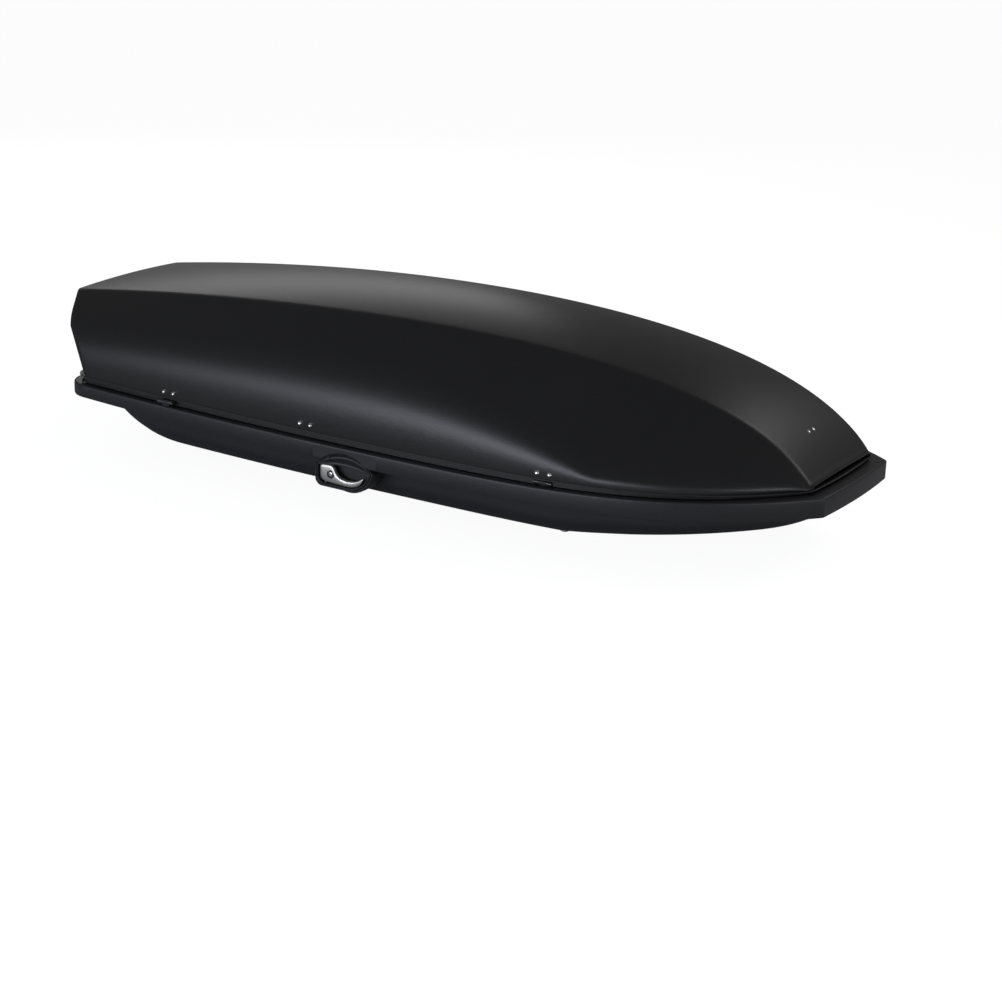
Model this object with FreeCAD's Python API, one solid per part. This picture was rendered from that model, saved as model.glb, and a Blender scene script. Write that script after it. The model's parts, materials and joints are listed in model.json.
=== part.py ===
"""Roof cargo box: a moulded tray and a sculpted lid that opens from either side.

Frame: X forwards, Y to the far side, Z up, origin under the middle of the box
at the lowest point of the crossbar clamps. A station s is a distance forwards
from the rear edge of the rim, and heights are given from the rim's top edge.
Near side pieces are modelled, and the far side mirrors them.
"""
import FreeCAD, Part
import math
import os
from FreeCAD import Vector

os.makedirs("parts", exist_ok=True)

# Plan of the rim
RIM_LENGTH = 1954.0
REAR_OVERHANG = 95.0
NOSE_BOW = 8.0
MAX_HALF_WIDTH = 419.0
WIDEST_STATION = 985.0
REAR_TAPER = 50.0
NOSE_HALF_WIDTH = 171.0
NOSE_TAPER_POWER = 3.77
RIM_CORNER = 80.0
SMALLEST_CORNER = 15.0

# Rise of the rim along the box, and the band below its top edge
RIM_SAG = 2.9
NOSE_RISE = 21.6
RIM_LOW_STATION = 900.0
BAND_REAR = 31.6
BAND_NOSE = 45.3

# Moulded walls
WALL = 4.0
EDGE_THICKNESS = 11.0
LEDGE_STEP = 7.0

# Foot of the lid
LID_INSET = 12.0
LID_INSET_NOSE = 44.0
LID_INSET_POWER = 7.0
LID_INSET_START = 1000.0
LID_REAR = 20.0
LID_NOSE = 34.0
CREASE_RISE = 20.0
CREASE_DROP_NOSE = 11.0
JOGGLE = 8.0
SHELF = 4.0
SHELF_LAP = 2.5
SHELF_TOP = 1.0
SHELF_LIP = 0.6
SHELF_TRIM = 0.6
FOOT_GAP = 0.5
STEP_GAP = 3.0
LEDGE_WIDTH = 26.0

# Ridge lines of the lid: control points from the rear corner to the nose
RIDGE_STATION = (-REAR_OVERHANG, 446.0, 1026.0, 1725.0, RIM_LENGTH - LID_NOSE)
RIDGE_HALF_WIDTH = (199.0, 224.0, 238.0, 164.0, 159.0)
RIDGE_HEIGHT = (188.0, 266.0, 289.0, 303.0, 38.0)
CROWN = (5.0, 38.0, 47.0, 2.0, 2.0)
NOSE_LIP = 8.0
NOSE_WALL = 8.0

# Soft break along each side of the lid
BREAK_SHARE = 0.60
BREAK_START = 650.0
BREAK_END = 1595.0
BREAK_POWER = 2.6
BREAK_LEAST = 0.15
SIDE_BULGE = 15.0

# Tray below the band
BODY_INSET = 50.0
BODY_INSET_NOSE = 30.0
BODY_REAR = 85.0
BODY_NOSE = 14.0
REAR_RAMP = 255.0
REAR_RAMP_POWER = 2.4
REAR_NARROWING = 40.0
BASE_DEPTH = 118.0
BODY_DRAFT = 12.0
BODY_CORNER = 45.0
BODY_TOP_LAP = 4.0
LIFT_START = 1400.0
LIFT_LENGTH = 453.0
LIFT_HEIGHT = 58.0
TIP_START = 1800.0
TIP_LENGTH = 140.0
TIP_HEIGHT = 30.0
PAN_START = 490.0
PAN_END = 1400.0
PAN_HALF_WIDTH = 296.0
PAN_DROP = 4.0
PAN_CORNER = 40.0

# Crossbar clamps
BAR_STATIONS = (640.0, 1345.0)
CLAMP_Y = 200.0
BAR_RADIUS = 14.3
BAR_CLEARANCE = 0.1
SADDLE_CROWN = 5.0
SADDLE_LENGTH = 38.0
SADDLE_HALF_WIDTH = 18.0
JAW_THICKNESS = 6.0
JAW_HALF_WIDTH = 12.0
JAW_GAP = 0.5
SHANK_RADIUS = 4.0
SHANK_CLEARANCE = 0.4
SHANK_RISE = 27.0
PLATE_THICKNESS = 3.0
PLATE_LENGTH = 88.0
PLATE_AHEAD = 27.0
PLATE_WIDTH = 64.0
KNOB_RADIUS = 27.0
KNOB_HEIGHT = 20.0
KNOB_LOBES = 6
KNOB_SCALLOP = 9.0
BOLT_RADIUS = 3.0
BOLT_CLEARANCE = 0.2
BOLT_HEAD_RADIUS = 6.5
BOLT_HEAD_HEIGHT = 3.5
BOLT_GRIP = 12.0
BOLT_BACK = 4.5
BOLT_SPREAD = 13.0
SEAT_GAP = 0.3

# Hinge and latch points along each side
HINGE_STATIONS = (341.6, 756.0, 1387.0)
PIN_Y = 388.5
PIN_RISE = 9.0
PIN_RADIUS = 2.5
PIN_CLEARANCE = 0.1
KNUCKLE_RADIUS = 5.5
KNUCKLE_HALF = 10.0
KNUCKLE_GAP = 0.5
HINGE_HALF = 22.0
NOTCH_HALF = 26.0
NOTCH_DEPTH = 22.0
BLADE_BACK = 15.0
BLADE_FRONT = 11.0
BLADE_THICKNESS = 4.0
BLADE_FOOT = -24.0
CLAW_START = -4.8
CLAW_HEIGHT = 7.5
SLOT_SIDE = 2.2
SLOT_END = 2.0
ARM_THICKNESS = 6.0
ARM_DEPTH = 9.0
BRACKET_PLATE = 4.0
BRACKET_TOP = 46.0
BRACKET_FOOT = 24.0
BRACKET_GAP = 0.4

# Latch bar and its guides
BAR_THICKNESS = 3.0
BAR_TOP = -12.5
BAR_FOOT = -22.0
BAR_OFFSET = 7.5
BAR_END = 45.0
FINGER_HALF = 4.0
FINGER_GAP = 0.5
GUIDE_HALF = 25.0
GUIDE_INNER = 14.0
GUIDE_OUTER = 3.0
SHOULDER_MARGIN = 1.5

# Rivets
RIVET_SPREAD = 15.0
RIVET_RISE = 31.0
RIVET_HEAD = 5.0
RIVET_HEAD_HEIGHT = 2.2
RIVET_SHANK = 2.2
RIVET_CLEARANCE = 0.15
RIVET_GRIP = 7.5
RIVET_SEAT = 0.3
NOSE_RIVET_STATION = 1838.0
NOSE_RIVET_SPREAD = 12.0
NOSE_BRACKET = (34.0, 60.0, 3.0)

# Lid lifters
LIFTER_STATIONS = (HINGE_STATIONS[0], HINGE_STATIONS[2])
LIFTER_FOOT = (56.4, -20.5)
LIFTER_HEAD = (96.4, 114.9)
LIFTER_SIDE = 10.0
STUD_RADIUS = 3.0
STUD_CLEARANCE = 0.15
EYE_RADIUS = 7.0
EYE_WIDTH = 6.0
OPEN_EYE_RADIUS = 10.0
OPEN_EYE_CLEARANCE = 3.6
TUBE_RADIUS = 6.5
TUBE_BORE = 4.6
TUBE_END = 100.0
ROD_RADIUS = 3.5
ROD_START = 45.0
RIB_WIDTH = 16.0
RIB_OFFSET = 2.0
RIB_THICKNESS = 3.0
RIB_FOOT = 50.0
LUG_THICKNESS = 4.0

# Handles
HANDLE_LEFT = 804.0
HANDLE_RIGHT = 954.0
HANDLE_CROWN = (868.0, -14.0)
HANDLE_SHOULDER = -50.0
HANDLE_BOTTOM = -97.0
HANDLE_CORNER = 18.0
HANDLE_DEPTH = 29.0
POCKET_DEPTH = 23.0
POCKET_RIM = 6.0
WELL_WALL = 4.5
WELL_GAP = 0.5
WELL_FACE = 4.0
HOUSING_FACE = 1.0
PIVOT_STATION = 823.0
PIVOT_DEPTH = 12.0
PIVOT_RADIUS = 2.0
HUB_RADIUS = 4.5
LEVER_FACE = 6.0
LEVER_THICKNESS = 8.0
LOCK_PLACE = (842.0, -70.0)
LOCK_RADIUS = 7.5
LOCK_CLEARANCE = 0.3
LOCK_DEPTH = 13.0
LEVER_BOSS = 17.0
LEVER_TIP = (924.0, -63.0)
LEVER_TIP_RADIUS = 5.0
TAIL_LENGTH = 27.0
TAIL_HALF = 3.0
TAIL_HEIGHTS = (-68.0, -60.0)
TAB_GAP = 1.0
TAB_LENGTH = 7.0
TAB_REACH = 10.0

PAN_FLOOR = -BASE_DEPTH - PAN_DROP
BAR_Z = PAN_FLOOR - SADDLE_CROWN - BAR_RADIUS
CLAMP_BOTTOM = BAR_Z - BAR_RADIUS - JAW_GAP - JAW_THICKNESS
RIM_Z = -CLAMP_BOTTOM
RIM_REAR_X = REAR_OVERHANG - (REAR_OVERHANG + RIM_LENGTH + NOSE_BOW) / 2.0
REACH = 1200.0
LID_NOSE_STATION = RIM_LENGTH - LID_NOSE


def at(s, y, z):
    """Point of the part from a station, a side offset and a height above the rim."""
    return Vector(s + RIM_REAR_X, y, z + RIM_Z)


def box(s_range, y_range, z_range):
    """Box between two stations, two side offsets and two heights."""
    low = at(min(s_range), min(y_range), min(z_range))
    size = [abs(r[1] - r[0]) for r in (s_range, y_range, z_range)]
    return Part.makeBox(size[0], size[1], size[2], low)


def mirrored(shape):
    """The same piece on the far side."""
    return shape.mirror(Vector(0, 0, 0), Vector(0, 1, 0))


def both(shape):
    """A near side piece together with its far side twin."""
    return shape.fuse(mirrored(shape))


def line(a, b):
    return Part.LineSegment(a, b).toShape()


def arc(a, b, c):
    return Part.Arc(a, b, c).toShape()


def spline(points):
    curve = Part.BSplineCurve()
    curve.interpolate(points)
    return curve.toShape()


def spread(first, last, count):
    """Evenly spaced stations from first to last."""
    return [first + (last - first) * i / (count - 1.0) for i in range(count)]


# Curves of the form

def half_width(s):
    """Half the width of the rim's outer edge."""
    if s < WIDEST_STATION:
        share = (WIDEST_STATION - s) / WIDEST_STATION
        return MAX_HALF_WIDTH - REAR_TAPER * share ** 2
    share = (s - WIDEST_STATION) / (RIM_LENGTH - WIDEST_STATION)
    return MAX_HALF_WIDTH - (MAX_HALF_WIDTH - NOSE_HALF_WIDTH) * share ** NOSE_TAPER_POWER


def rim_rise(s):
    """Height of the rim's top edge, which sags a little and rises at the nose."""
    t = (s - RIM_LOW_STATION) / 1000.0
    return RIM_SAG * t ** 2 + NOSE_RISE * max(t, 0.0) ** 3


def band(s):
    """Height of the rim's outer band."""
    return BAND_REAR + (BAND_NOSE - BAND_REAR) * s / RIM_LENGTH


def nose_share(s):
    return max(0.0, (s - LID_INSET_START) / (LID_NOSE_STATION - LID_INSET_START))


def lid_inset(s):
    return LID_INSET + (LID_INSET_NOSE - LID_INSET) * nose_share(s) ** LID_INSET_POWER


def crease_rise(s):
    """Height of the lid's foot crease above the rim."""
    return CREASE_RISE - CREASE_DROP_NOSE * nose_share(s) ** 2


def lid_side(extra):
    """Side offset of a line inset from the lid's foot crease."""
    return lambda s: half_width(s) - lid_inset(s) - extra


def rim_side(extra):
    return lambda s: half_width(s) - extra


def above_rim(offset):
    return lambda s: rim_rise(s) + offset


def above_crease(offset):
    return lambda s: rim_rise(s) + crease_rise(s) + offset


def bezier(controls, t):
    n = len(controls) - 1
    return sum(math.comb(n, i) * c * t ** i * (1 - t) ** (n - i) for i, c in enumerate(controls))


def ridge(s):
    """Half width, height and crown of the top panel at a station."""
    low, high = 0.0, 1.0
    for _ in range(40):
        middle = (low + high) / 2.0
        if bezier(RIDGE_STATION, middle) < s:
            low = middle
        else:
            high = middle
    return [bezier(controls, low) for controls in (RIDGE_HALF_WIDTH, RIDGE_HEIGHT, CROWN)]


def break_share(s):
    """Share of the side's height at which its soft break lies."""
    run = max(0.0, (s - BREAK_START) / (BREAK_END - BREAK_START))
    return max(BREAK_LEAST, BREAK_SHARE * (1.0 - run ** BREAK_POWER))


def body_side(s):
    """Half width of the tray below the band."""
    rear = max(0.0, 1.0 - (s - BODY_REAR) / REAR_RAMP)
    inset = BODY_INSET + BODY_INSET_NOSE * nose_share(s) ** LID_INSET_POWER
    return half_width(s) - inset - REAR_NARROWING * rear ** 3


def body_bottom(s):
    """Height of the tray's underside: a ramp at the rear, flat, then lifted to the nose."""
    ramp = max(0.0, 1.0 - (s - BODY_REAR) / REAR_RAMP)
    rise = (BASE_DEPTH - band(s)) * ramp ** REAR_RAMP_POWER
    lift = LIFT_HEIGHT * max(0.0, (s - LIFT_START) / LIFT_LENGTH) ** 1.15
    tip = TIP_HEIGHT * max(0.0, (s - TIP_START) / TIP_LENGTH) ** 3
    return -BASE_DEPTH + rise + lift + tip


# Solids cut from the curves

def outline_prism(side, rear, nose):
    """Upright prism on the rim's plan: side(s) is its half width, and its rear corners are round."""
    corner = max(RIM_CORNER - rear, SMALLEST_CORNER)
    start = rear + corner
    end = RIM_LENGTH - nose
    stations = spread(start, end, 14)
    foot = -RIM_Z
    near = [at(s, -side(s), foot) for s in stations]
    far = [at(s, side(s), foot) for s in reversed(stations)]
    edge = side(start) - corner
    slant = corner * (1.0 - math.cos(math.pi / 4))
    edges = [
        line(at(rear, edge, foot), at(rear, -edge, foot)),
        arc(at(rear, -edge, foot), at(rear + slant, slant - side(start), foot), near[0]),
        spline(near),
        arc(near[-1], at(end + NOSE_BOW, 0, foot), far[0]),
        spline(far),
        arc(far[-1], at(rear + slant, side(start) - slant, foot), at(rear, edge, foot)),
    ]
    return Part.Face(Part.Wire(edges)).extrude(Vector(0, 0, REACH))


def slab(lower, upper):
    """Slab across the box between two heights that follow the rim."""
    stations = spread(-REAR_OVERHANG - RIM_CORNER, RIM_LENGTH + RIM_CORNER, 13)
    low = [at(s, -REACH / 2, lower(s)) for s in stations]
    high = [at(s, -REACH / 2, upper(s)) for s in reversed(stations)]
    edges = [spline(low), line(low[-1], high[0]), spline(high), line(high[-1], low[0])]
    return Part.Face(Part.Wire(edges)).extrude(Vector(0, REACH, 0))


def rim_block(side, rear, nose, lower, upper):
    return outline_prism(side, rear, nose).common(slab(lower, upper))


def lid_half_section(s, wall):
    """Foot crease, side break, ridge and crown of the lid's surface at a station."""
    crease = (lid_side(wall)(s), rim_rise(s) + crease_rise(s))
    width, height, crown = ridge(s)
    lip = NOSE_LIP - 0.5 * wall
    edge = (min(width - 0.5 * wall, crease[0] - lip), max(height - wall, crease[1] + lip))
    share = break_share(s)
    run = (crease[0] - edge[0], edge[1] - crease[1])
    length = math.hypot(run[0], run[1])
    bulge = SIDE_BULGE * 4 * share * (1 - share) * min(1.0, length / (4.0 * SIDE_BULGE))
    side_break = (crease[0] - run[0] * share + bulge * run[1] / length,
                  crease[1] + run[1] * share + bulge * run[0] / length)
    return crease, side_break, edge, edge[1] + crown


def lid_section_wire(s, wall, drop):
    """Closed cross-section of the lid at a station."""
    crease, side_break, edge, top = lid_half_section(s, wall)
    near = [(crease[0], crease[1] - drop), crease, side_break, edge]
    near_points = [at(s, -y, z) for y, z in near]
    far_points = [at(s, y, z) for y, z in reversed(near)]
    edges = [line(near_points[i], near_points[i + 1]) for i in range(3)]
    edges.append(arc(near_points[3], at(s, 0, top), far_points[0]))
    edges += [line(far_points[i], far_points[i + 1]) for i in range(3)]
    edges.append(line(far_points[3], near_points[0]))
    return Part.Wire(edges)


def rear_rake(wall):
    """Wedge ahead of the lid's raked rear wall."""
    foot_z = CREASE_RISE
    top_z = RIDGE_HEIGHT[0] + CROWN[0]
    lean = (LID_REAR + REAR_OVERHANG) / (top_z - foot_z)
    low_z = foot_z - SHELF * 2
    high_z = top_z + RIM_CORNER
    points = [at(LID_REAR + wall, 0, low_z), at(LID_REAR + wall, 0, foot_z),
              at(LID_REAR + wall - lean * (high_z - foot_z), 0, high_z),
              at(RIM_LENGTH, 0, RIM_Z + high_z), at(RIM_LENGTH, 0, low_z)]
    points = [Vector(p.x, -REACH / 2, p.z) for p in points]
    return Part.Face(Part.makePolygon(points + [points[0]])).extrude(Vector(0, REACH, 0))


def lid_form(wall, drop, nose_back):
    """Solid under the lid's surface, inset by a wall."""
    stations = [-REAR_OVERHANG - 15.0, 0.0, 150.0, 350.0, 600.0, 850.0, 1100.0, 1300.0,
                1480.0, 1630.0, 1750.0, 1830.0, 1880.0, LID_NOSE_STATION - nose_back]
    wires = [lid_section_wire(s, wall, drop) for s in stations]
    return Part.makeLoft(wires, True, False).common(rear_rake(wall))


def body_section_wire(s, wall):
    """Closed cross-section of the tray below the band."""
    top_y = body_side(s) - wall
    top_z = rim_rise(s) - band(s) + BODY_TOP_LAP + wall
    bottom_z = body_bottom(s) + wall
    depth = top_z - bottom_z
    corner = min(BODY_CORNER, 0.6 * depth)
    side_y = top_y - BODY_DRAFT * (depth - corner) / BASE_DEPTH
    cut = corner * math.sin(math.pi / 4)
    near = [(top_y, top_z), (side_y, bottom_z + corner), (side_y - corner, bottom_z)]
    middle = (side_y - corner + cut, bottom_z + corner - cut)
    n = [at(s, -y, z) for y, z in near]
    f = [at(s, y, z) for y, z in near]
    edges = [line(n[0], n[1]), arc(n[1], at(s, -middle[0], middle[1]), n[2]), line(n[2], f[2]),
             arc(f[2], at(s, middle[0], middle[1]), f[1]), line(f[1], f[0]), line(f[0], n[0])]
    return Part.Wire(edges)


def body_form(wall):
    """Solid inside the tray's outer surface, inset by a wall."""
    first = BODY_REAR + 4.0 + wall
    last = RIM_LENGTH - BODY_NOSE - wall
    flat = BODY_REAR + REAR_RAMP
    stations = spread(first, flat, 9)[:-1] + spread(flat, LIFT_START, 6)[:-1]
    stations += spread(LIFT_START, TIP_START, 6)[:-1] + spread(TIP_START, last, 6)
    return Part.makeLoft([body_section_wire(s, wall) for s in stations], True, True)


def pan_form(wall):
    """Shallow pan under the floor that the clamps bear on."""
    half = PAN_HALF_WIDTH - wall
    pan = box((PAN_START + wall, PAN_END - wall), (-half, half),
              (PAN_FLOOR + wall, -BASE_DEPTH + WALL + wall))
    upright = [e for e in pan.Edges if abs(e.tangentAt(e.FirstParameter).z) > 0.9]
    return pan.makeFillet(PAN_CORNER - wall, upright)


def cylinder(centre, axis, radius, length):
    return Part.makeCylinder(radius, length, centre, axis)


FORWARD = Vector(1, 0, 0)
UP = Vector(0, 0, 1)
INWARD = Vector(0, 1, 0)
HANDLE_FACE = half_width((HANDLE_LEFT + HANDLE_RIGHT) / 2.0)


def profile(points, s_range):
    """Plate with a near side cross-section, given as (offset from the middle, height)."""
    corners = [at(s_range[0], -y, z) for y, z in points]
    face = Part.Face(Part.makePolygon(corners + [corners[0]]))
    return face.extrude(Vector(s_range[1] - s_range[0], 0, 0))


# Handles

def handle_outline(grow, y):
    """Outline of the handle's housing: an arched top, a square foot and a swept front."""
    left = HANDLE_LEFT - grow
    right = HANDLE_RIGHT + grow
    low = HANDLE_BOTTOM - grow
    corner = HANDLE_CORNER
    cut = corner * (1 - math.sin(math.pi / 4))
    shoulder = HANDLE_SHOULDER
    sweep_start = (HANDLE_LEFT + HANDLE_RIGHT) / 2.0
    edges = [
        arc(at(left, y, shoulder), at(HANDLE_CROWN[0], y, HANDLE_CROWN[1] + grow), at(right, y, shoulder)),
        line(at(right, y, shoulder), at(right, y, shoulder - 8)),
        arc(at(right, y, shoulder - 8), at(right - 22, y, low + 13), at(sweep_start, y, low)),
        line(at(sweep_start, y, low), at(left + corner, y, low)),
        arc(at(left + corner, y, low), at(left + cut, y, low + cut), at(left, y, low + corner)),
        line(at(left, y, low + corner), at(left, y, shoulder)),
    ]
    return Part.Face(Part.Wire(edges))


def handle_block(grow, outer, inner):
    """Housing outline carried from one side offset inwards to another."""
    return handle_outline(grow, -outer).extrude(Vector(0, outer - inner, 0))


def make_handle_housing():
    face = HANDLE_FACE - HOUSING_FACE
    housing = handle_block(0, face, face - HANDLE_DEPTH)
    housing = housing.cut(handle_block(-POCKET_RIM, face + 1, face - POCKET_DEPTH))
    pivot_y = HANDLE_FACE - PIVOT_DEPTH
    slot = box((PIVOT_STATION - 14, PIVOT_STATION + 26), (-pivot_y, -(face - HANDLE_DEPTH - 1)),
               (TAIL_HEIGHTS[0] - 2, TAIL_HEIGHTS[1] + 2))
    pin = cylinder(at(PIVOT_STATION, -pivot_y, HANDLE_BOTTOM + 1), UP, PIVOT_RADIUS + 0.1,
                   HANDLE_SHOULDER - HANDLE_BOTTOM)
    return housing.cut(slot).cut(pin)


def make_handle_pin():
    pivot_y = HANDLE_FACE - PIVOT_DEPTH
    return cylinder(at(PIVOT_STATION, -pivot_y, HANDLE_BOTTOM + 1.3), UP, PIVOT_RADIUS,
                    HANDLE_SHOULDER - HANDLE_BOTTOM - 0.6)


def make_handle():
    """Lever with its hub, and a tail that drives the latch bar."""
    outer = HANDLE_FACE - LEVER_FACE
    inner = outer - LEVER_THICKNESS
    pivot_y = HANDLE_FACE - PIVOT_DEPTH
    s, z = LOCK_PLACE
    s = s - 2.0
    tip_s, tip_z = LEVER_TIP
    r = LEVER_BOSS
    tip = LEVER_TIP_RADIUS
    y = -outer
    edges = [
        arc(at(s, y, z + r), at(s - r, y, z), at(s, y, z - r)),
        arc(at(s, y, z - r), at((s + tip_s) / 2 + 4, y, z - r + 3), at(tip_s, y, tip_z - tip)),
        arc(at(tip_s, y, tip_z - tip), at(tip_s + tip, y, tip_z), at(tip_s, y, tip_z + tip)),
        arc(at(tip_s, y, tip_z + tip), at((s + tip_s) / 2 + 6, y, z), at(s + r - 2, y, z + r - 4)),
        line(at(s + r - 2, y, z + r - 4), at(s, y, z + r)),
    ]
    lever = Part.Face(Part.Wire(edges)).extrude(Vector(0, outer - inner, 0))
    hub = cylinder(at(PIVOT_STATION, -pivot_y, z - r + 2), UP, HUB_RADIUS, 2 * r - 4)
    tail = box((PIVOT_STATION - TAIL_HALF, PIVOT_STATION + TAIL_HALF),
               (-pivot_y, -(pivot_y - TAIL_LENGTH)), TAIL_HEIGHTS)
    lever = lever.fuse([hub, tail])
    bore = cylinder(at(PIVOT_STATION, -pivot_y, HANDLE_BOTTOM), UP, PIVOT_RADIUS + 0.1,
                    HANDLE_SHOULDER - HANDLE_BOTTOM)
    lock = cylinder(at(LOCK_PLACE[0], -outer - 1, LOCK_PLACE[1]), INWARD, LOCK_RADIUS + LOCK_CLEARANCE,
                    LEVER_THICKNESS + 4)
    return lever.cut(bore).cut(lock)


def make_lock_cylinder():
    face = HANDLE_FACE - LEVER_FACE + 1.0
    lock = cylinder(at(LOCK_PLACE[0], -face, LOCK_PLACE[1]), INWARD, LOCK_RADIUS, LOCK_DEPTH)
    keyway = box((LOCK_PLACE[0] - 0.7, LOCK_PLACE[0] + 0.7), (-face - 1, -face + 6),
                 (LOCK_PLACE[1] - 4.5, LOCK_PLACE[1] + 4.5))
    return lock.cut(keyway)


# Tray

def rivet_places():
    """Stations of the paired rivets on each side."""
    return [s + shift for s in HINGE_STATIONS for shift in (-RIVET_SPREAD, RIVET_SPREAD)]


def jaw_axis(bar_station):
    return bar_station + BAR_RADIUS + JAW_GAP + JAW_THICKNESS


def bolt_places(bar_station):
    """Two bolts behind the crossbar and one pair of sides."""
    return [(bar_station - BAR_RADIUS - BOLT_BACK, -CLAMP_Y + side) for side in (-BOLT_SPREAD, BOLT_SPREAD)]


def floor_openings():
    """Near side cuts through the floor for the clamp shanks and bolts."""
    cuts = []
    for bar_station in BAR_STATIONS:
        s = jaw_axis(bar_station)
        cuts.append(cylinder(at(s, -CLAMP_Y, PAN_FLOOR - 5), UP, SHANK_RADIUS + 2.0, 20.0))
        for bolt_s, bolt_y in bolt_places(bar_station):
            cuts.append(cylinder(at(bolt_s, bolt_y, PAN_FLOOR - 5), UP,
                                 BOLT_RADIUS + BOLT_CLEARANCE, 20.0))
    return cuts


def make_base_shell():
    outer = rim_block(rim_side(0), 0, 0, lambda s: rim_rise(s) - band(s), above_rim(0))
    well = handle_block(WELL_WALL, HANDLE_FACE - WELL_FACE, body_side(880.0) - BODY_DRAFT - 12)
    outer = outer.fuse([body_form(0), pan_form(0), well, mirrored(well)])
    channel = rim_block(rim_side(WALL), WALL, WALL, lambda s: rim_rise(s) - band(s) + WALL,
                        above_rim(-EDGE_THICKNESS))
    step = STEP_GAP
    recess = rim_block(lid_side(JOGGLE - step), LID_REAR + JOGGLE - step, LID_NOSE + JOGGLE - step,
                       above_rim(-LEDGE_STEP), above_rim(CREASE_RISE))
    mouth = rim_block(lid_side(LEDGE_WIDTH), LID_REAR + LEDGE_WIDTH, LID_NOSE + LEDGE_WIDTH,
                      above_rim(-EDGE_THICKNESS - 2), above_rim(CREASE_RISE))
    shell = outer.cut(channel)
    for cut in (body_form(WALL), pan_form(WALL), recess, mouth):
        shell = shell.cut(cut)
    openings = [handle_block(WELL_GAP, HANDLE_FACE + 5, body_side(880.0) - BODY_DRAFT - 25)]
    for s in HINGE_STATIONS:
        side = BLADE_THICKNESS / 2 + SLOT_SIDE
        openings.append(box((s - BLADE_BACK - SLOT_END, s + BLADE_FRONT + SLOT_END),
                            (-PIN_Y - side, -PIN_Y + side), (-EDGE_THICKNESS - 3, CREASE_RISE)))
    openings += floor_openings()
    return shell.cut(openings + [mirrored(cut) for cut in openings])


def make_claw_guides():
    """Blocks in the channel that seat each hinge foot and carry the latch bar."""
    blocks = []
    for s in HINGE_STATIONS:
        floor = max(rim_rise(x) - band(x) for x in (s - GUIDE_HALF, s + GUIDE_HALF)) + WALL + 0.2
        block = box((s - GUIDE_HALF, s + GUIDE_HALF), (-PIN_Y - GUIDE_OUTER, -PIN_Y + GUIDE_INNER),
                    (floor, BLADE_FOOT - SEAT_GAP))
        inner = PIN_Y - BAR_OFFSET - BAR_THICKNESS - SHOULDER_MARGIN
        shoulder = box((s - GUIDE_HALF, s + GUIDE_HALF),
                       (-inner, -(PIN_Y - BAR_OFFSET + SHOULDER_MARGIN)),
                       (BLADE_FOOT - SEAT_GAP - 1, BAR_FOOT - SEAT_GAP))
        blocks.append(block.fuse(shoulder))
    return Part.makeCompound(blocks)


def make_latch_bar():
    """Flat bar with a finger at each claw and a tab that the handle's tail pushes."""
    inner = PIN_Y - BAR_OFFSET - BAR_THICKNESS
    outer = PIN_Y - BAR_OFFSET
    bar = box((HINGE_STATIONS[0] - BAR_END, HINGE_STATIONS[-1] + BAR_END), (-inner, -outer),
              (BAR_FOOT, BAR_TOP))
    pieces = []
    for s in HINGE_STATIONS:
        tip = PIN_Y - BLADE_THICKNESS / 2 - FINGER_GAP
        pieces.append(box((s - FINGER_HALF, s + FINGER_HALF), (-inner, -tip), (BAR_FOOT + 2, BAR_TOP - 2)))
    start = PIVOT_STATION + TAIL_HALF + TAB_GAP
    pieces.append(box((start, start + TAB_LENGTH), (-inner, -(inner + TAB_REACH)),
                      (TAIL_HEIGHTS[0], BAR_TOP)))
    return bar.fuse(pieces)


# Hinge feet

def make_hinge_feet():
    """Foot at each hinge: knuckle, blade into the tray, and an arm for the lifter."""
    feet = []
    for s in HINGE_STATIONS:
        foot = cylinder(at(s - KNUCKLE_HALF, -PIN_Y, PIN_RISE), FORWARD, KNUCKLE_RADIUS, 2 * KNUCKLE_HALF)
        half = BLADE_THICKNESS / 2
        neck = box((s - KNUCKLE_HALF, s + KNUCKLE_HALF), (-PIN_Y - half, -PIN_Y + half), (-2, PIN_RISE))
        blade = box((s - BLADE_BACK, s + BLADE_FRONT), (-PIN_Y - half, -PIN_Y + half), (BLADE_FOOT, 1))
        claw = box((s + CLAW_START, s + BLADE_FRONT + 1), (-PIN_Y - 9, -PIN_Y + 9),
                   (BAR_FOOT + 1, BAR_FOOT + 1 + CLAW_HEIGHT))
        foot = foot.fuse([neck, blade]).cut(claw)
        if s in LIFTER_STATIONS:
            foot = foot.fuse(lifter_arm(s))
        bore = cylinder(at(s - HINGE_HALF, -PIN_Y, PIN_RISE), FORWARD, PIN_RADIUS + PIN_CLEARANCE,
                        2 * HINGE_HALF)
        feet.append(foot.cut(bore))
    return Part.makeCompound(feet)


def lifter_arm(s):
    """Arm from the knuckle to the lifter's lower stud."""
    y, z = LIFTER_FOOT
    stud_y = PIN_Y - y
    stud_z = PIN_RISE + z
    half = ARM_DEPTH / 2
    points = [(PIN_Y, PIN_RISE + half), (PIN_Y - 26, PIN_RISE + half), (stud_y - half, stud_z + 2),
              (stud_y - half, stud_z - half), (stud_y + half, stud_z - half),
              (PIN_Y - 22, PIN_RISE - half), (PIN_Y, PIN_RISE - half)]
    arm = profile(points, (s - ARM_THICKNESS / 2, s + ARM_THICKNESS / 2))
    eye = cylinder(at(s - ARM_THICKNESS / 2, -stud_y, stud_z), FORWARD, EYE_RADIUS, ARM_THICKNESS)
    stud = cylinder(at(s, -stud_y, stud_z), FORWARD, STUD_RADIUS, LIFTER_SIDE + EYE_WIDTH)
    return arm.fuse([eye, stud])


def make_hinge_pins():
    pins = [cylinder(at(s - HINGE_HALF - 1, -PIN_Y, PIN_RISE), FORWARD, PIN_RADIUS, 2 * HINGE_HALF + 2)
            for s in HINGE_STATIONS]
    return Part.makeCompound(pins)


# Lid

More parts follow.
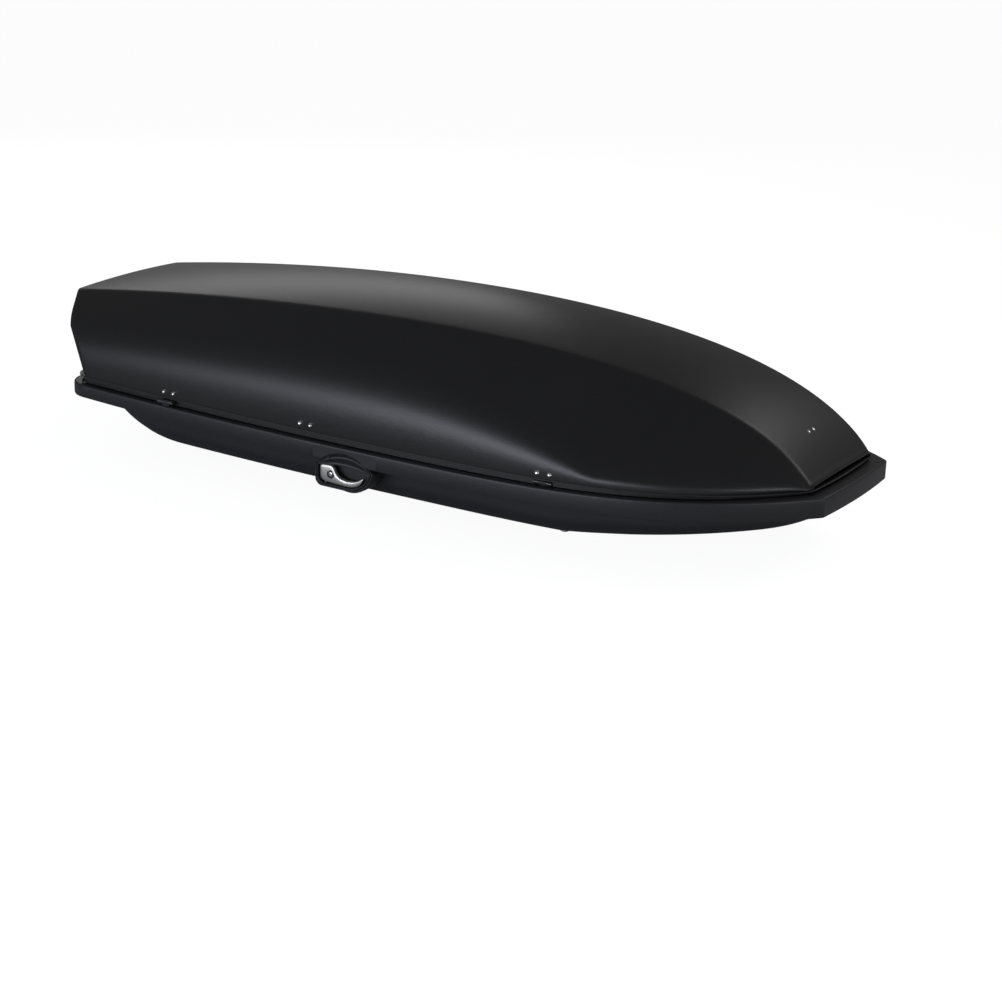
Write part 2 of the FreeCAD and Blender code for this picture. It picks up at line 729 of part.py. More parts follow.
def side_point(s, z, wall):
    """Side offset of the lid's wall at a height below its break, and the wall's lean."""
    crease, side_break, edge, top = lid_half_section(s, wall)
    lean = (crease[0] - side_break[0]) / (side_break[1] - crease[1])
    return crease[0] - lean * (z - crease[1]), lean


def rivet(centre, axis):
    """Low rivet with its stepped cone head outside and its shank along the axis."""
    back = centre - axis * RIVET_SEAT
    shank = cylinder(back, axis, RIVET_SHANK, RIVET_GRIP)
    middle = RIVET_HEAD * 0.75
    rise = RIVET_HEAD_HEIGHT * 0.6
    head = Part.makeCone(RIVET_HEAD, middle, rise, back, axis * -1)
    crown = Part.makeCone(middle, RIVET_HEAD * 0.3, RIVET_HEAD_HEIGHT - rise, back - axis * rise, axis * -1)
    return head.fuse([crown, shank])


def side_rivet_axis(s):
    """Foot point of a side rivet on the lid's wall, and the direction inwards."""
    y, lean = side_point(s, RIVET_RISE, 0.0)
    turn = (side_point(s + RIVET_HEAD, RIVET_RISE, 0.0)[0]
            - side_point(s - RIVET_HEAD, RIVET_RISE, 0.0)[0]) / (2 * RIVET_HEAD)
    axis = Vector(turn, 1, -lean)
    axis.normalize()
    return at(s, -y, RIVET_RISE), axis


def make_side_rivets():
    return Part.makeCompound([rivet(*side_rivet_axis(s)) for s in rivet_places()])


def nose_rivet_axis(y):
    """Foot point of a nose rivet on the top panel, and the direction inwards."""
    s = NOSE_RIVET_STATION
    width, height, crown = ridge(s)
    ahead = ridge(s + 5.0)
    top = height + crown * (1 - (y / width) ** 2)
    fall = (ahead[1] + ahead[2] - height - crown) / 5.0
    axis = Vector(fall, 0, -1)
    axis.normalize()
    return at(s, y, top), axis


def make_nose_rivets():
    return Part.makeCompound([rivet(*nose_rivet_axis(y)) for y in (-NOSE_RIVET_SPREAD, NOSE_RIVET_SPREAD)])


def rivet_holes(places):
    return [cylinder(centre - axis * 3.0, axis, RIVET_SHANK + RIVET_CLEARANCE, 3.0 + RIVET_GRIP + 2)
            for centre, axis in places]


def lid_holes():
    side = rivet_holes([side_rivet_axis(s) for s in rivet_places()])
    nose = rivet_holes([nose_rivet_axis(y) for y in (-NOSE_RIVET_SPREAD, NOSE_RIVET_SPREAD)])
    return side, nose


def make_lid_shell(outer, inner):
    shelf = rim_block(lid_side(-SHELF_LIP), LID_REAR - SHELF_LIP, LID_NOSE - SHELF_LIP,
                      above_crease(-SHELF), above_crease(-SHELF_TOP))
    foot = rim_block(lid_side(JOGGLE), LID_REAR + JOGGLE, LID_NOSE + JOGGLE,
                     above_rim(FOOT_GAP), above_crease(-SHELF / 2))
    inside = JOGGLE + WALL
    mouth = rim_block(lid_side(inside), LID_REAR + inside, LID_NOSE + inside,
                      above_rim(-1), above_crease(1))
    shell = outer.fuse([shelf, foot]).cut(inner).cut(mouth)
    notches = []
    for s in HINGE_STATIONS:
        roof = min(above_crease(-SHELF)(x) for x in (s - NOTCH_HALF, s + NOTCH_HALF)) - 0.2
        notches.append(box((s - NOTCH_HALF, s + NOTCH_HALF), (-PIN_Y + NOTCH_DEPTH, -half_width(s) - 2),
                           (-2, roof)))
    side, nose = lid_holes()
    cuts = notches + side
    return shell.cut(cuts + [mirrored(cut) for cut in cuts] + nose)


def make_lid_brackets():
    """Riveted bracket inside the lid at each hinge, with two knuckles round the pin."""
    brackets = []
    for s in HINGE_STATIONS:
        narrow = min((s - HINGE_HALF, s + HINGE_HALF), key=lambda x: lid_side(0)(x))
        shelf_y = lid_side(JOGGLE + WALL)(narrow) - BRACKET_GAP
        foot_z = BRACKET_FOOT + rim_rise(s)
        low_y = side_point(narrow, foot_z, WALL)[0] - BRACKET_GAP
        top_y = side_point(narrow, BRACKET_TOP, WALL)[0] - BRACKET_GAP
        low_z = PIN_RISE - KNUCKLE_RADIUS + 0.5
        leg_y = min(shelf_y, low_y)
        back_y = leg_y - BRACKET_PLATE
        plate = profile([(low_y, foot_z), (top_y, BRACKET_TOP), (top_y - BRACKET_PLATE, BRACKET_TOP),
                         (back_y, foot_z)], (s - HINGE_HALF, s + HINGE_HALF))
        pieces = [plate]
        for first, last in ((-HINGE_HALF, -KNUCKLE_HALF - KNUCKLE_GAP),
                            (KNUCKLE_HALF + KNUCKLE_GAP, HINGE_HALF)):
            span = (s + first, s + last)
            riser = profile([(leg_y, low_z), (leg_y, foot_z + 1), (back_y, foot_z + 1), (back_y, low_z)],
                            span)
            near_y = min(back_y, PIN_Y)
            reach = profile([(near_y, low_z), (max(leg_y, PIN_Y), low_z),
                             (max(leg_y, PIN_Y), PIN_RISE + 3), (near_y, PIN_RISE + 3)], span)
            barrel = cylinder(at(span[0], -PIN_Y, PIN_RISE), FORWARD, KNUCKLE_RADIUS, span[1] - span[0])
            pieces += [riser, reach, barrel]
        bore = cylinder(at(s - HINGE_HALF - 1, -PIN_Y, PIN_RISE), FORWARD, PIN_RADIUS + PIN_CLEARANCE,
                        2 * HINGE_HALF + 2)
        brackets.append(pieces[0].fuse(pieces[1:]).cut(bore))
    side, nose = lid_holes()
    return Part.makeCompound([bracket.cut(side) for bracket in brackets])


def lifter_points(s):
    """Foot and head of a lifter as (side offset, height)."""
    foot = (PIN_Y - LIFTER_FOOT[0], PIN_RISE + LIFTER_FOOT[1])
    head = (PIN_Y - LIFTER_HEAD[0], PIN_RISE + LIFTER_HEAD[1])
    return foot, head


def make_lid_rib(s, inner, liner):
    """Arched rib under the lid with a lug and stud for a lifter on each side."""
    span = (s - RIB_OFFSET - RIB_WIDTH, s - RIB_OFFSET)
    band_box = box(span, (-REACH / 2, REACH / 2), (rim_rise(s) + RIB_FOOT, REACH / 2))
    rib = inner.common(band_box).cut(liner)
    foot, head = lifter_points(s)
    lug_box = box((s - RIB_OFFSET - LUG_THICKNESS, s - RIB_OFFSET),
                  (-head[0] + EYE_RADIUS, -head[0] - 60), (head[1] - EYE_RADIUS, head[1] + EYE_RADIUS))
    lug = inner.common(lug_box)
    stud = cylinder(at(s - RIB_OFFSET - 1, -head[0], head[1]), FORWARD, STUD_RADIUS,
                    LIFTER_SIDE + EYE_WIDTH + RIB_OFFSET)
    lug = lug.fuse(stud)
    return rib.fuse([lug, mirrored(lug)])


def make_nose_bracket(inner):
    """Small stiffening plate that the nose rivets hold under the top panel."""
    length, width, thickness = NOSE_BRACKET
    centre, axis = nose_rivet_axis(0.0)
    plate = Part.makeBox(length, width, thickness, Vector(-length / 2, -width / 2, -thickness))
    turn = FreeCAD.Rotation(Vector(0, 0, -1), axis)
    plate.Placement = FreeCAD.Placement(centre + axis * (WALL + 2.2), turn)
    side, nose = lid_holes()
    return plate.cut(nose)


# Lifters

def lifter_frame(s):
    """Head, foot and direction of a near side lifter."""
    foot, head = lifter_points(s)
    start = at(s + LIFTER_SIDE, -head[0], head[1])
    end = at(s + LIFTER_SIDE, -foot[0], foot[1])
    direction = end - start
    length = direction.Length
    direction.normalize()
    return start, end, direction, length


def ring(centre, outer, inner, width):
    start = centre - FORWARD * (width / 2)
    return cylinder(start, FORWARD, outer, width).cut(cylinder(start, FORWARD, inner, width))


def make_lifter_tube(s):
    start, end, direction, length = lifter_frame(s)
    tube = cylinder(start + direction * 5.5, direction, TUBE_RADIUS, TUBE_END - 5.5)
    tube = tube.cut(cylinder(start + direction * 14, direction, TUBE_BORE, TUBE_END))
    tube = tube.fuse(cylinder(start - FORWARD * (EYE_WIDTH / 2), FORWARD, EYE_RADIUS, EYE_WIDTH))
    return tube.cut(cylinder(start - FORWARD * 10, FORWARD, STUD_RADIUS + STUD_CLEARANCE, 20))


def make_lifter_rod(s):
    start, end, direction, length = lifter_frame(s)
    reach = length - OPEN_EYE_RADIUS + 2
    rod = cylinder(start + direction * ROD_START, direction, ROD_RADIUS, reach - ROD_START)
    guide = cylinder(start + direction * ROD_START, direction, TUBE_BORE - 0.3, 10)
    eye = ring(end, OPEN_EYE_RADIUS, STUD_RADIUS + OPEN_EYE_CLEARANCE, EYE_WIDTH)
    return rod.fuse([guide, eye])


# Crossbar clamps

def make_clamp_saddle(bar_station):
    """Moulded saddle under the floor, half round for the crossbar."""
    right = bar_station + BAR_RADIUS - JAW_GAP
    saddle = box((right - SADDLE_LENGTH, right), (-CLAMP_Y - SADDLE_HALF_WIDTH, -CLAMP_Y + SADDLE_HALF_WIDTH),
                 (BAR_Z - 2, PAN_FLOOR))
    bar = cylinder(at(bar_station, -CLAMP_Y - 50, BAR_Z), INWARD, BAR_RADIUS + BAR_CLEARANCE, 100)
    bolts = [cylinder(at(s, y, PAN_FLOOR - BOLT_GRIP), UP, BOLT_RADIUS + BOLT_CLEARANCE, BOLT_GRIP + 5)
             for s, y in bolt_places(bar_station)]
    return saddle.cut([bar] + bolts)


def make_clamp_jaw(bar_station):
    """Hook under the crossbar with its threaded shank."""
    inner = BAR_RADIUS + JAW_GAP
    outer = inner + JAW_THICKNESS
    start = at(bar_station, -CLAMP_Y - JAW_HALF_WIDTH, BAR_Z)
    width = 2 * JAW_HALF_WIDTH
    hook = cylinder(start, INWARD, outer, width).cut(cylinder(start, INWARD, inner, width))
    hook = hook.cut(box((bar_station - REACH, bar_station + REACH), (-REACH, 0), (BAR_Z, BAR_Z + 100)))
    hook = hook.cut(box((bar_station - REACH, bar_station - 8), (-REACH, 0), (BAR_Z - 9, BAR_Z + 100)))
    s = jaw_axis(bar_station)
    leg = box((bar_station + inner, s + JAW_THICKNESS), (-CLAMP_Y - JAW_HALF_WIDTH, -CLAMP_Y + JAW_HALF_WIDTH),
              (BAR_Z - 6, PAN_FLOOR - 2))
    leg = leg.cut(cylinder(start, INWARD, inner, width))
    shank = cylinder(at(s, -CLAMP_Y, PAN_FLOOR - 4), UP, SHANK_RADIUS, 4 + WALL + SHANK_RISE)
    return hook.fuse([leg, shank])


def make_clamp_plate(bar_station):
    """Steel plate on the pan's floor under the knob."""
    floor = PAN_FLOOR + WALL
    s = jaw_axis(bar_station)
    plate = box((s - PLATE_LENGTH + PLATE_AHEAD, s + PLATE_AHEAD),
                (-CLAMP_Y - PLATE_WIDTH / 2, -CLAMP_Y + PLATE_WIDTH / 2), (floor, floor + PLATE_THICKNESS))
    upright = [e for e in plate.Edges if abs(e.tangentAt(e.FirstParameter).z) > 0.9]
    plate = plate.makeFillet(8.0, upright)
    holes = [cylinder(at(s, -CLAMP_Y, floor - 5), UP, SHANK_RADIUS + 1.0, 20)]
    for bolt_s, bolt_y in bolt_places(bar_station):
        holes.append(cylinder(at(bolt_s, bolt_y, floor - 5), UP, BOLT_RADIUS + BOLT_CLEARANCE, 20))
    return plate.cut(holes)


def make_clamp_knob(bar_station):
    """Lobed hand knob that draws the jaw up."""
    foot = PAN_FLOOR + WALL + PLATE_THICKNESS + 0.2
    s = jaw_axis(bar_station)
    hub = cylinder(at(s, -CLAMP_Y, foot), UP, 0.45 * KNOB_RADIUS, KNOB_HEIGHT)
    grip = cylinder(at(s, -CLAMP_Y, foot + 5), UP, KNOB_RADIUS, KNOB_HEIGHT - 5)
    cuts = [cylinder(at(s, -CLAMP_Y, foot - 1), UP, SHANK_RADIUS + SHANK_CLEARANCE, KNOB_HEIGHT + 2)]
    for i in range(KNOB_LOBES):
        turn = 2 * math.pi * i / KNOB_LOBES
        reach = KNOB_RADIUS + KNOB_SCALLOP * 0.45
        cuts.append(cylinder(at(s + reach * math.cos(turn), -CLAMP_Y + reach * math.sin(turn), foot), UP,
                             KNOB_SCALLOP, KNOB_HEIGHT + 2))
    return hub.fuse(grip).cut(cuts)


def make_clamp_bolts():
    """Round-headed bolts from the plates into the saddles, near side."""
    bolts = []
    top = PAN_FLOOR + WALL + PLATE_THICKNESS
    for bar_station in BAR_STATIONS:
        for s, y in bolt_places(bar_station):
            shank = cylinder(at(s, y, PAN_FLOOR - BOLT_GRIP + 0.5), UP, BOLT_RADIUS,
                             top - PAN_FLOOR + BOLT_GRIP)
            head = cylinder(at(s, y, top + 0.1), UP, BOLT_HEAD_RADIUS, BOLT_HEAD_HEIGHT)
            bolts.append(shank.fuse(head))
    return Part.makeCompound(bolts)


def main():
    outer = lid_form(0.0, SHELF_LAP, 0.0)
    inner = lid_form(WALL, SHELF_TRIM, NOSE_WALL)
    liner = lid_form(WALL + RIB_THICKNESS, SHELF_TRIM, NOSE_WALL + RIB_THICKNESS)
    nodes = {
        "base_shell": make_base_shell(),
        "lid_shell": make_lid_shell(outer, inner),
        "lid_rib_rear": make_lid_rib(LIFTER_STATIONS[0], inner, liner),
        "lid_rib_front": make_lid_rib(LIFTER_STATIONS[1], inner, liner),
        "nose_bracket": make_nose_bracket(inner),
        "nose_rivets": make_nose_rivets(),
    }
    sided = {
        "handle_housing": make_handle_housing(),
        "handle_pin": make_handle_pin(),
        "handle": make_handle(),
        "lock_cylinder": make_lock_cylinder(),
        "latch_bar": make_latch_bar(),
        "claw_guides": make_claw_guides(),
        "hinge_feet": make_hinge_feet(),
        "hinge_pins": make_hinge_pins(),
        "lid_brackets": make_lid_brackets(),
        "lid_rivets": make_side_rivets(),
        "clamp_bolts": make_clamp_bolts(),
    }
    for end, s, bar_station in zip(("rear", "front"), LIFTER_STATIONS, BAR_STATIONS):
        sided[end + "_lifter_tube"] = make_lifter_tube(s)
        sided[end + "_lifter_rod"] = make_lifter_rod(s)
        sided[end + "_clamp_saddle"] = make_clamp_saddle(bar_station)
        sided[end + "_clamp_jaw"] = make_clamp_jaw(bar_station)
        sided[end + "_clamp_plate"] = make_clamp_plate(bar_station)
        sided[end + "_clamp_knob"] = make_clamp_knob(bar_station)
    for name, shape in sided.items():
        nodes["near_" + name] = shape
        nodes["far_" + name] = mirrored(shape)
    for name, shape in nodes.items():
        shape.exportStep("parts/" + name + ".step")
        print(name, len(shape.Solids), "solids", round(shape.Volume / 1000.0, 1), "cm3")


main()
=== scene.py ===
"""Looks of the roof cargo box: smooth skins, moulded details, materials and a plain studio."""
import json
import math

import bmesh
import bpy
import numpy as np
from mathutils import Matrix, Vector


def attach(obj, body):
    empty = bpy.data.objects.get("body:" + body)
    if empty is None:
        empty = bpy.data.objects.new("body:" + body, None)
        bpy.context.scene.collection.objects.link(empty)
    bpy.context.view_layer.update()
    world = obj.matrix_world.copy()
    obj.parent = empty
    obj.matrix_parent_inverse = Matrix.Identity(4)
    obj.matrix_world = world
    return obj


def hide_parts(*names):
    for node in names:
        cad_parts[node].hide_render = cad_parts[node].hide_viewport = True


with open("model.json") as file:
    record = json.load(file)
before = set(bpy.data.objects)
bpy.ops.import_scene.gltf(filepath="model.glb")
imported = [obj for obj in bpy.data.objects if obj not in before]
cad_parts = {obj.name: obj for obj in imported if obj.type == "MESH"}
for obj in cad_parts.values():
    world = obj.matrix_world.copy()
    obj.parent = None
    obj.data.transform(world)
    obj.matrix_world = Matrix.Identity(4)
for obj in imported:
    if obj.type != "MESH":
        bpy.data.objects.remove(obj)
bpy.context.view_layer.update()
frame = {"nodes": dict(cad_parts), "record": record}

bl_info = {
    "name": "Roof cargo box",
    "version": (1, 0, 0),
    "blender": (4, 5, 0),
    "location": "View3D > Sidebar > Cargo box",
    "description": "Builds the skins, details, finishes and studio of a roof cargo box",
    "category": "Object",
}

# Sizes of the form in millimetres, heights from the rim's top edge
RIM_LENGTH = 1954.0
OVERHANG = 95.0
NOSE_BOW = 8.0
TIP_EASE = 0.3
RIM_REAR_X = OVERHANG - (OVERHANG + RIM_LENGTH + NOSE_BOW) / 2.0
RIM_Z = 162.1
WIDEST = 985.0
MAX_HALF = 418.95
RIM_CORNER = 80.0
LID_REAR = 20.0
LID_NOSE = 34.0
LID_END = RIM_LENGTH - LID_NOSE
LID_CORNER = 60.0
LID_SETBACK = 12.0
CREASE_RISE = 20.0
RAKE_TOP = 193.0
RAKE_LEAN = (LID_REAR + OVERHANG) / (RAKE_TOP - CREASE_RISE)
BREAK_BULGE = 15.0
CROWN_EASE = 0.05
SHEET = 4.0
TAPER_START = 1000.0
RIDGE_S = (-OVERHANG, 446.0, 1026.0, 1725.0, LID_END)
RIDGE_Y = (199.0, 224.0, 238.0, 164.0, 159.0)
RIDGE_Z = (188.0, 266.0, 289.0, 303.0, 38.0)
RIDGE_CROWN = (5.0, 38.0, 47.0, 2.0, 2.0)
BODY_REAR = 85.0
BODY_END = RIM_LENGTH - 14.0
RAMP = 255.0
FLOOR = -118.0
TUB_DRAFT = 12.0
TUB_ROUND = 45.0
PAN_ENDS = (490.0, 1400.0)
PAN_HALF = 296.0
PAN_SLOPE = 8.0
PAN_STEP = 4.0
HOUSING_ENDS = (804.0, 954.0)
HOUSING_MIDDLE = sum(HOUSING_ENDS) / 2.0
HOUSING_SHOULDER = -50.0
HOUSING_FOOT = -97.0
HOUSING_CROWN = (868.0, -14.0)
POCKET_CROWN = (876.0, -40.0)
ARCH_POINTS = 39
PATCH_ENDS = (792.0, 962.0)
PATCH_COLUMNS = 120
BAND_ROW = 4
BAND_ROUND = (5.5, 3.0)
LOCK_CENTRE = (842.0, -70.0)
LEVER_SPINE = ((824.0, -70.0), (838.0, -72.0), (856.0, -80.0), (880.0, -86.0), (904.0, -84.0), (924.0, -74.0))
LEVER_CORNERS = (
    (811.0, -60.0), (812.0, -52.5), (818.0, -49.5), (830.0, -48.0), (842.0, -48.5), (848.0, -53.0),
    (853.0, -62.0), (861.0, -71.0), (874.0, -76.5), (892.0, -78.0), (908.0, -75.5), (920.0, -70.5),
    (929.5, -64.5), (931.0, -67.0), (926.0, -77.0), (916.0, -86.0), (900.0, -91.5), (880.0, -92.5),
    (858.0, -92.0), (840.0, -91.0), (824.0, -89.5), (814.5, -84.0), (811.0, -74.0),
)
SIDES = (("near", -1.0), ("far", 1.0))

# Camera: place in millimetres, and yaw, pitch and roll in radians
CAMERA_PLACE = (3734.32, -4520.13, 1534.32)
CAMERA_TURN = (-0.53568, 0.31921, 0.03313)

# Lights: name, place, target, size, power and colour
LIGHTS = (
    ("back", (-3.0, 3.0, 2.0), (-0.7, 0.0, 0.4), (2.6, 1.2), 14.0, (1.0, 1.0, 1.0)),
    ("side", (-0.6, -4.2, 0.6), (0.2, -0.3, 0.2), (3.0, 1.2), 54.0, (0.84, 0.89, 1.0)),
    ("side_rear", (-3.0, -4.0, 0.6), (-0.8, -0.3, 0.2), (2.4, 1.2), 20.0, (0.84, 0.89, 1.0)),
    ("nose", (1.3, 2.2, 2.4), (0.9, 0.0, 0.2), (1.2, 1.0), 6.0, (1.0, 1.0, 1.0)),
    ("glare", (2.6, 1.5, 2.2), (0.95, 0.0, 0.25), (0.8, 0.8), 8.0, (1.0, 1.0, 1.0)),
    ("front", (3.2, -1.8, 0.7), (0.95, -0.2, 0.15), (1.6, 0.8), 14.0, (0.92, 0.95, 1.0)),
)
WORLD_STRENGTH = 0.14
FLOOR_HALF = 60000.0
FLOOR_SHARE = 0.6
FLOOR_GLOW = 1.55


# Formulas of the form, for numpy arrays

def half_width(s):
    """Half width of the rim: a square law to the rear, a 3.77 power law to the nose."""
    rear = MAX_HALF - 50.0 * (np.maximum(WIDEST - s, 0.0) / WIDEST) ** 2
    share = np.maximum(s - WIDEST, 0.0) / (RIM_LENGTH - WIDEST)
    return rear - (MAX_HALF - 171.0) * share ** 3.77


def rim_rise(s):
    """Height of the rim's top edge: a shallow parabola and a cubic rise to the nose."""
    t = (s - 900.0) / 1000.0
    return 2.9 * t ** 2 + 21.6 * np.maximum(t, 0.0) ** 3


def band(s):
    """Height of the rim's band, growing evenly to the nose."""
    return 31.6 + 13.7 * s / RIM_LENGTH


def nose_share(s):
    """Share of the way along the nose's taper: linear from 0 at its start."""
    return np.maximum(0.0, (s - TAPER_START) / (LID_END - TAPER_START))


def lid_inset(s):
    """Inset of the lid from the rim: even, then a seventh power law at the nose."""
    return LID_SETBACK + 32.0 * nose_share(s) ** 7


def crease_rise(s):
    """Height of the lid's crease over the rim: a square law down to the nose."""
    return CREASE_RISE - 11.0 * nose_share(s) ** 2


def bezier(controls, t):
    """Bezier curve of any degree: control values weighted by Bernstein's polynomials."""
    n = len(controls) - 1
    return sum(math.comb(n, i) * c * t ** i * (1 - t) ** (n - i) for i, c in enumerate(controls))


def ridge(s):
    """Half width, height and crown of the top panel, read from Bezier curves of the station."""
    t = np.linspace(0.0, 1.0, 801)
    stations = bezier(RIDGE_S, t)
    return [np.interp(s, stations, bezier(c, t)) for c in (RIDGE_Y, RIDGE_Z, RIDGE_CROWN)]


def break_share(s):
    """Share of the way from crease to ridge at which the side breaks: a 2.6 power law down to 0.15."""
    run = np.clip((s - 650.0) / 945.0, 0.0, None)
    return np.maximum(0.15, 0.60 * (1.0 - run ** 2.6))


def body_side(s):
    """Half width of the tub's top: the rim's, drawn in by a seventh power at the nose and a cubic at the rear."""
    rear = np.clip(1.0 - (s - BODY_REAR) / RAMP, 0.0, 1.0)
    return half_width(s) - 50.0 - 30.0 * nose_share(s) ** 7 - 40.0 * rear ** 3


def body_bottom(s):
    """Underside of the tray: a rear ramp, a flat, and a lift that steepens at the tip."""
    ramp = np.clip(1.0 - (s - BODY_REAR) / RAMP, 0.0, 1.0)
    lift = 58.0 * np.maximum(0.0, (s - 1400.0) / 453.0) ** 1.15
    tip = 30.0 * np.maximum(0.0, (s - 1800.0) / 140.0) ** 3
    return FLOOR + (-FLOOR - band(s)) * ramp ** 2.4 + lift + tip


def flange_reach(s):
    """Reach of the rim's foot flange, just inside the tub's wall all along."""
    return half_width(s) - body_side(s) + 6.0


def part_frame(points):
    """Points given as station, side and height in millimetres, moved to the part's frame in metres."""
    return (np.asarray(points, float) + np.array([RIM_REAR_X, 0.0, RIM_Z])) * 0.001


# Mesh building

def grid_faces(rows, columns, close_rows=False, close_columns=False, keep=None):
    """Quads of a grid of points, optionally closed round either way and masked."""
    r = np.arange(rows if close_rows else rows - 1)
    c = np.arange(columns if close_columns else columns - 1)
    a, b = np.meshgrid(r, c, indexing="ij")
    a2 = (a + 1) % rows
    b2 = (b + 1) % columns
    quads = np.stack([a * columns + b, a * columns + b2, a2 * columns + b2, a2 * columns + b], axis=-1)
    quads = quads.reshape(-1, 4)
    return quads if keep is None else quads[keep.reshape(-1)]


def mesh_object(name, points, faces, smooth_angle=35.0):
    """Object from an array of points and quads, welded, faced outwards and shaded smooth by angle."""
    mesh = bpy.data.meshes.new(name)
    mesh.from_pydata(part_frame(points.reshape(-1, 3)).tolist(), [], faces.tolist())
    obj = bpy.data.objects.new(name, mesh)
    bpy.context.scene.collection.objects.link(obj)
    bm = bmesh.new()
    bm.from_mesh(mesh)
    bmesh.ops.remove_doubles(bm, verts=bm.verts, dist=2e-5)
    bmesh.ops.dissolve_degenerate(bm, edges=bm.edges, dist=1e-5)
    bmesh.ops.recalc_face_normals(bm, faces=bm.faces)
    limit = math.radians(smooth_angle)
    for face in bm.faces:
        face.smooth = True
    for edge in bm.edges:
        if len(edge.link_faces) == 2:
            edge.smooth = edge.calc_face_angle(0.0) < limit
    bm.to_mesh(mesh)
    bm.free()
    return obj


def solidify(obj):
    """Wall of even thickness laid inwards from the skin."""
    wall = obj.modifiers.new("wall", "SOLIDIFY")
    wall.thickness = SHEET * 0.001
    wall.offset = -1.0
    wall.use_even_offset = True
    return obj


def face_outwards(obj, centre):
    """Turns an open skin so that most of its faces look away from a centre."""
    bm = bmesh.new()
    bm.from_mesh(obj.data)
    middle = Vector(part_frame(np.array(centre)))
    votes = 0.0
    for face in bm.faces:
        outwards = (face.calc_center_median() - middle).dot(face.normal) > 0
        votes += face.calc_area() if outwards else -face.calc_area()
    if votes < 0:
        bmesh.ops.reverse_faces(bm, faces=bm.faces)
    bm.to_mesh(obj.data)
    bm.free()
    return obj


def rounded_path(points, radii, steps=6):
    """Polyline whose corners are replaced by quadratic blends of the given half-lengths.

    points is (corners, samples, 2); the result is (path, samples, 2).
    """
    rows = [points[0]]
    for i in range(1, len(points) - 1):
        before, corner, after = points[i - 1], points[i], points[i + 1]
        to_before = before - corner
        to_after = after - corner
        length_b = np.linalg.norm(to_before, axis=-1, keepdims=True)
        length_a = np.linalg.norm(to_after, axis=-1, keepdims=True)
        reach_b = np.minimum(radii[i], 0.45 * length_b)
        reach_a = np.minimum(radii[i], 0.45 * length_a)
        start = corner + to_before / np.maximum(length_b, 1e-6) * reach_b
        end = corner + to_after / np.maximum(length_a, 1e-6) * reach_a
        for t in np.linspace(0.0, 1.0, steps):
            rows.append((1 - t) ** 2 * start + 2 * t * (1 - t) * corner + t ** 2 * end)
    rows.append(points[-1])
    return np.array(rows)


def mirrored(near):
    """Rows of the near half followed by their mirror, the middle row once."""
    far = near[::-1][1:].copy()
    far[:, :, 1] *= -1.0
    return np.concatenate([near, far])


def rim_outline(extra, rear, nose, inset=None):
    """Plan line inset from the rim, as stations and sides: rear edge, round corner, side and bowed nose.

    The near half is returned, from the middle of the rear edge to the middle of the nose.
    """
    corner = max(RIM_CORNER - rear, 15.0)
    start = rear + corner
    end = RIM_LENGTH - nose
    reach = extra if callable(extra) else lambda s: extra
    side = lambda s: half_width(s) - reach(s) - (lid_inset(s) if inset else 0.0)
    edge = side(np.array(start))
    rear_line = [(rear, t * (edge - corner)) for t in np.linspace(0.0, 1.0, 12)[:-1]]
    turn = np.linspace(0.0, math.pi / 2, 15)
    arc = [(rear + corner - corner * math.cos(a), edge - corner + corner * math.sin(a)) for a in turn]
    u = np.linspace(0.0, 1.0, 150)[1:]
    s = start + (end - start) * (0.55 * u + 0.45 * (1 - (1 - u) ** 2))
    flank = list(zip(s, side(s)))
    tip = side(np.array(end))
    bow = [(end + (NOSE_BOW - TIP_EASE) * (1 - t ** 2), tip * t) for t in np.linspace(1.0, 0.0, 12)[1:]]
    return np.array(rear_line + arc + flank + bow, float)


def closed_outline(extra, rear, nose, inset=None):
    """Whole plan line, near half and its mirror."""
    half = rim_outline(extra, rear, nose, inset)
    return np.concatenate([half * np.array([1.0, -1.0]), half[::-1][1:-1]])


def ring_sweep(name, profile, keep=None):
    """Surface through plan lines at each profile point (extra, rear, nose, height, inset flag)."""
    rings = []
    for extra, rear, nose, height, inset in profile:
        line = closed_outline(extra, rear, nose, inset)
        z = height(line[:, 0])
        rings.append(np.column_stack([line, z]))
    points = np.array(rings)
    mask = None if keep is None else keep(points)
    return mesh_object(name, points, grid_faces(len(profile), points.shape[1], True, True, mask))


# Lid

def lid_profile(s):
    """Near half of the lid's section at stations s: crease, side break, ridge and crown."""
    crease = np.stack([half_width(s) - lid_inset(s), rim_rise(s) + crease_rise(s)], axis=-1)
    width, height, crown = ridge(s)
    edge = np.stack([np.minimum(width, crease[..., 0] - 8.0), np.maximum(height, crease[..., 1] + 8.0)], axis=-1)
    share = break_share(s)[..., None]
    run = edge - crease
    length = np.linalg.norm(run, axis=-1, keepdims=True)
    bulge = BREAK_BULGE * 4 * share * (1 - share) * np.minimum(1.0, length / 60.0)
    normal = np.stack([run[..., 1], -run[..., 0]], axis=-1) / length
    side_break = crease + run * share + bulge * normal
    arcs = []
    for t in np.linspace(0.0, 1.0, 9)[1:]:
        y = edge[..., 0] * (1 - t)
        z = edge[..., 1] + (crown - CROWN_EASE) * (1 - (1 - t) ** 2)
        arcs.append(np.stack([y, z], axis=-1))
    return [crease, side_break, edge] + arcs


def lid_lines(s, radii):
    """Rounded near half sections as an array (profile, station, 2)."""
    corners = np.array(lid_profile(s))
    return np.concatenate([rounded_path(corners[:4], radii)[:-1], corners[3:]])


def rear_plan(side):
    """Station of the lid's rear foot line at a side offset: straight, then a quarter round."""
    start = LID_REAR + LID_CORNER
    edge = half_width(start) - LID_SETBACK
    over = np.clip(side - (edge - LID_CORNER), 0.0, LID_CORNER)
    return start - np.sqrt(LID_CORNER ** 2 - over ** 2)


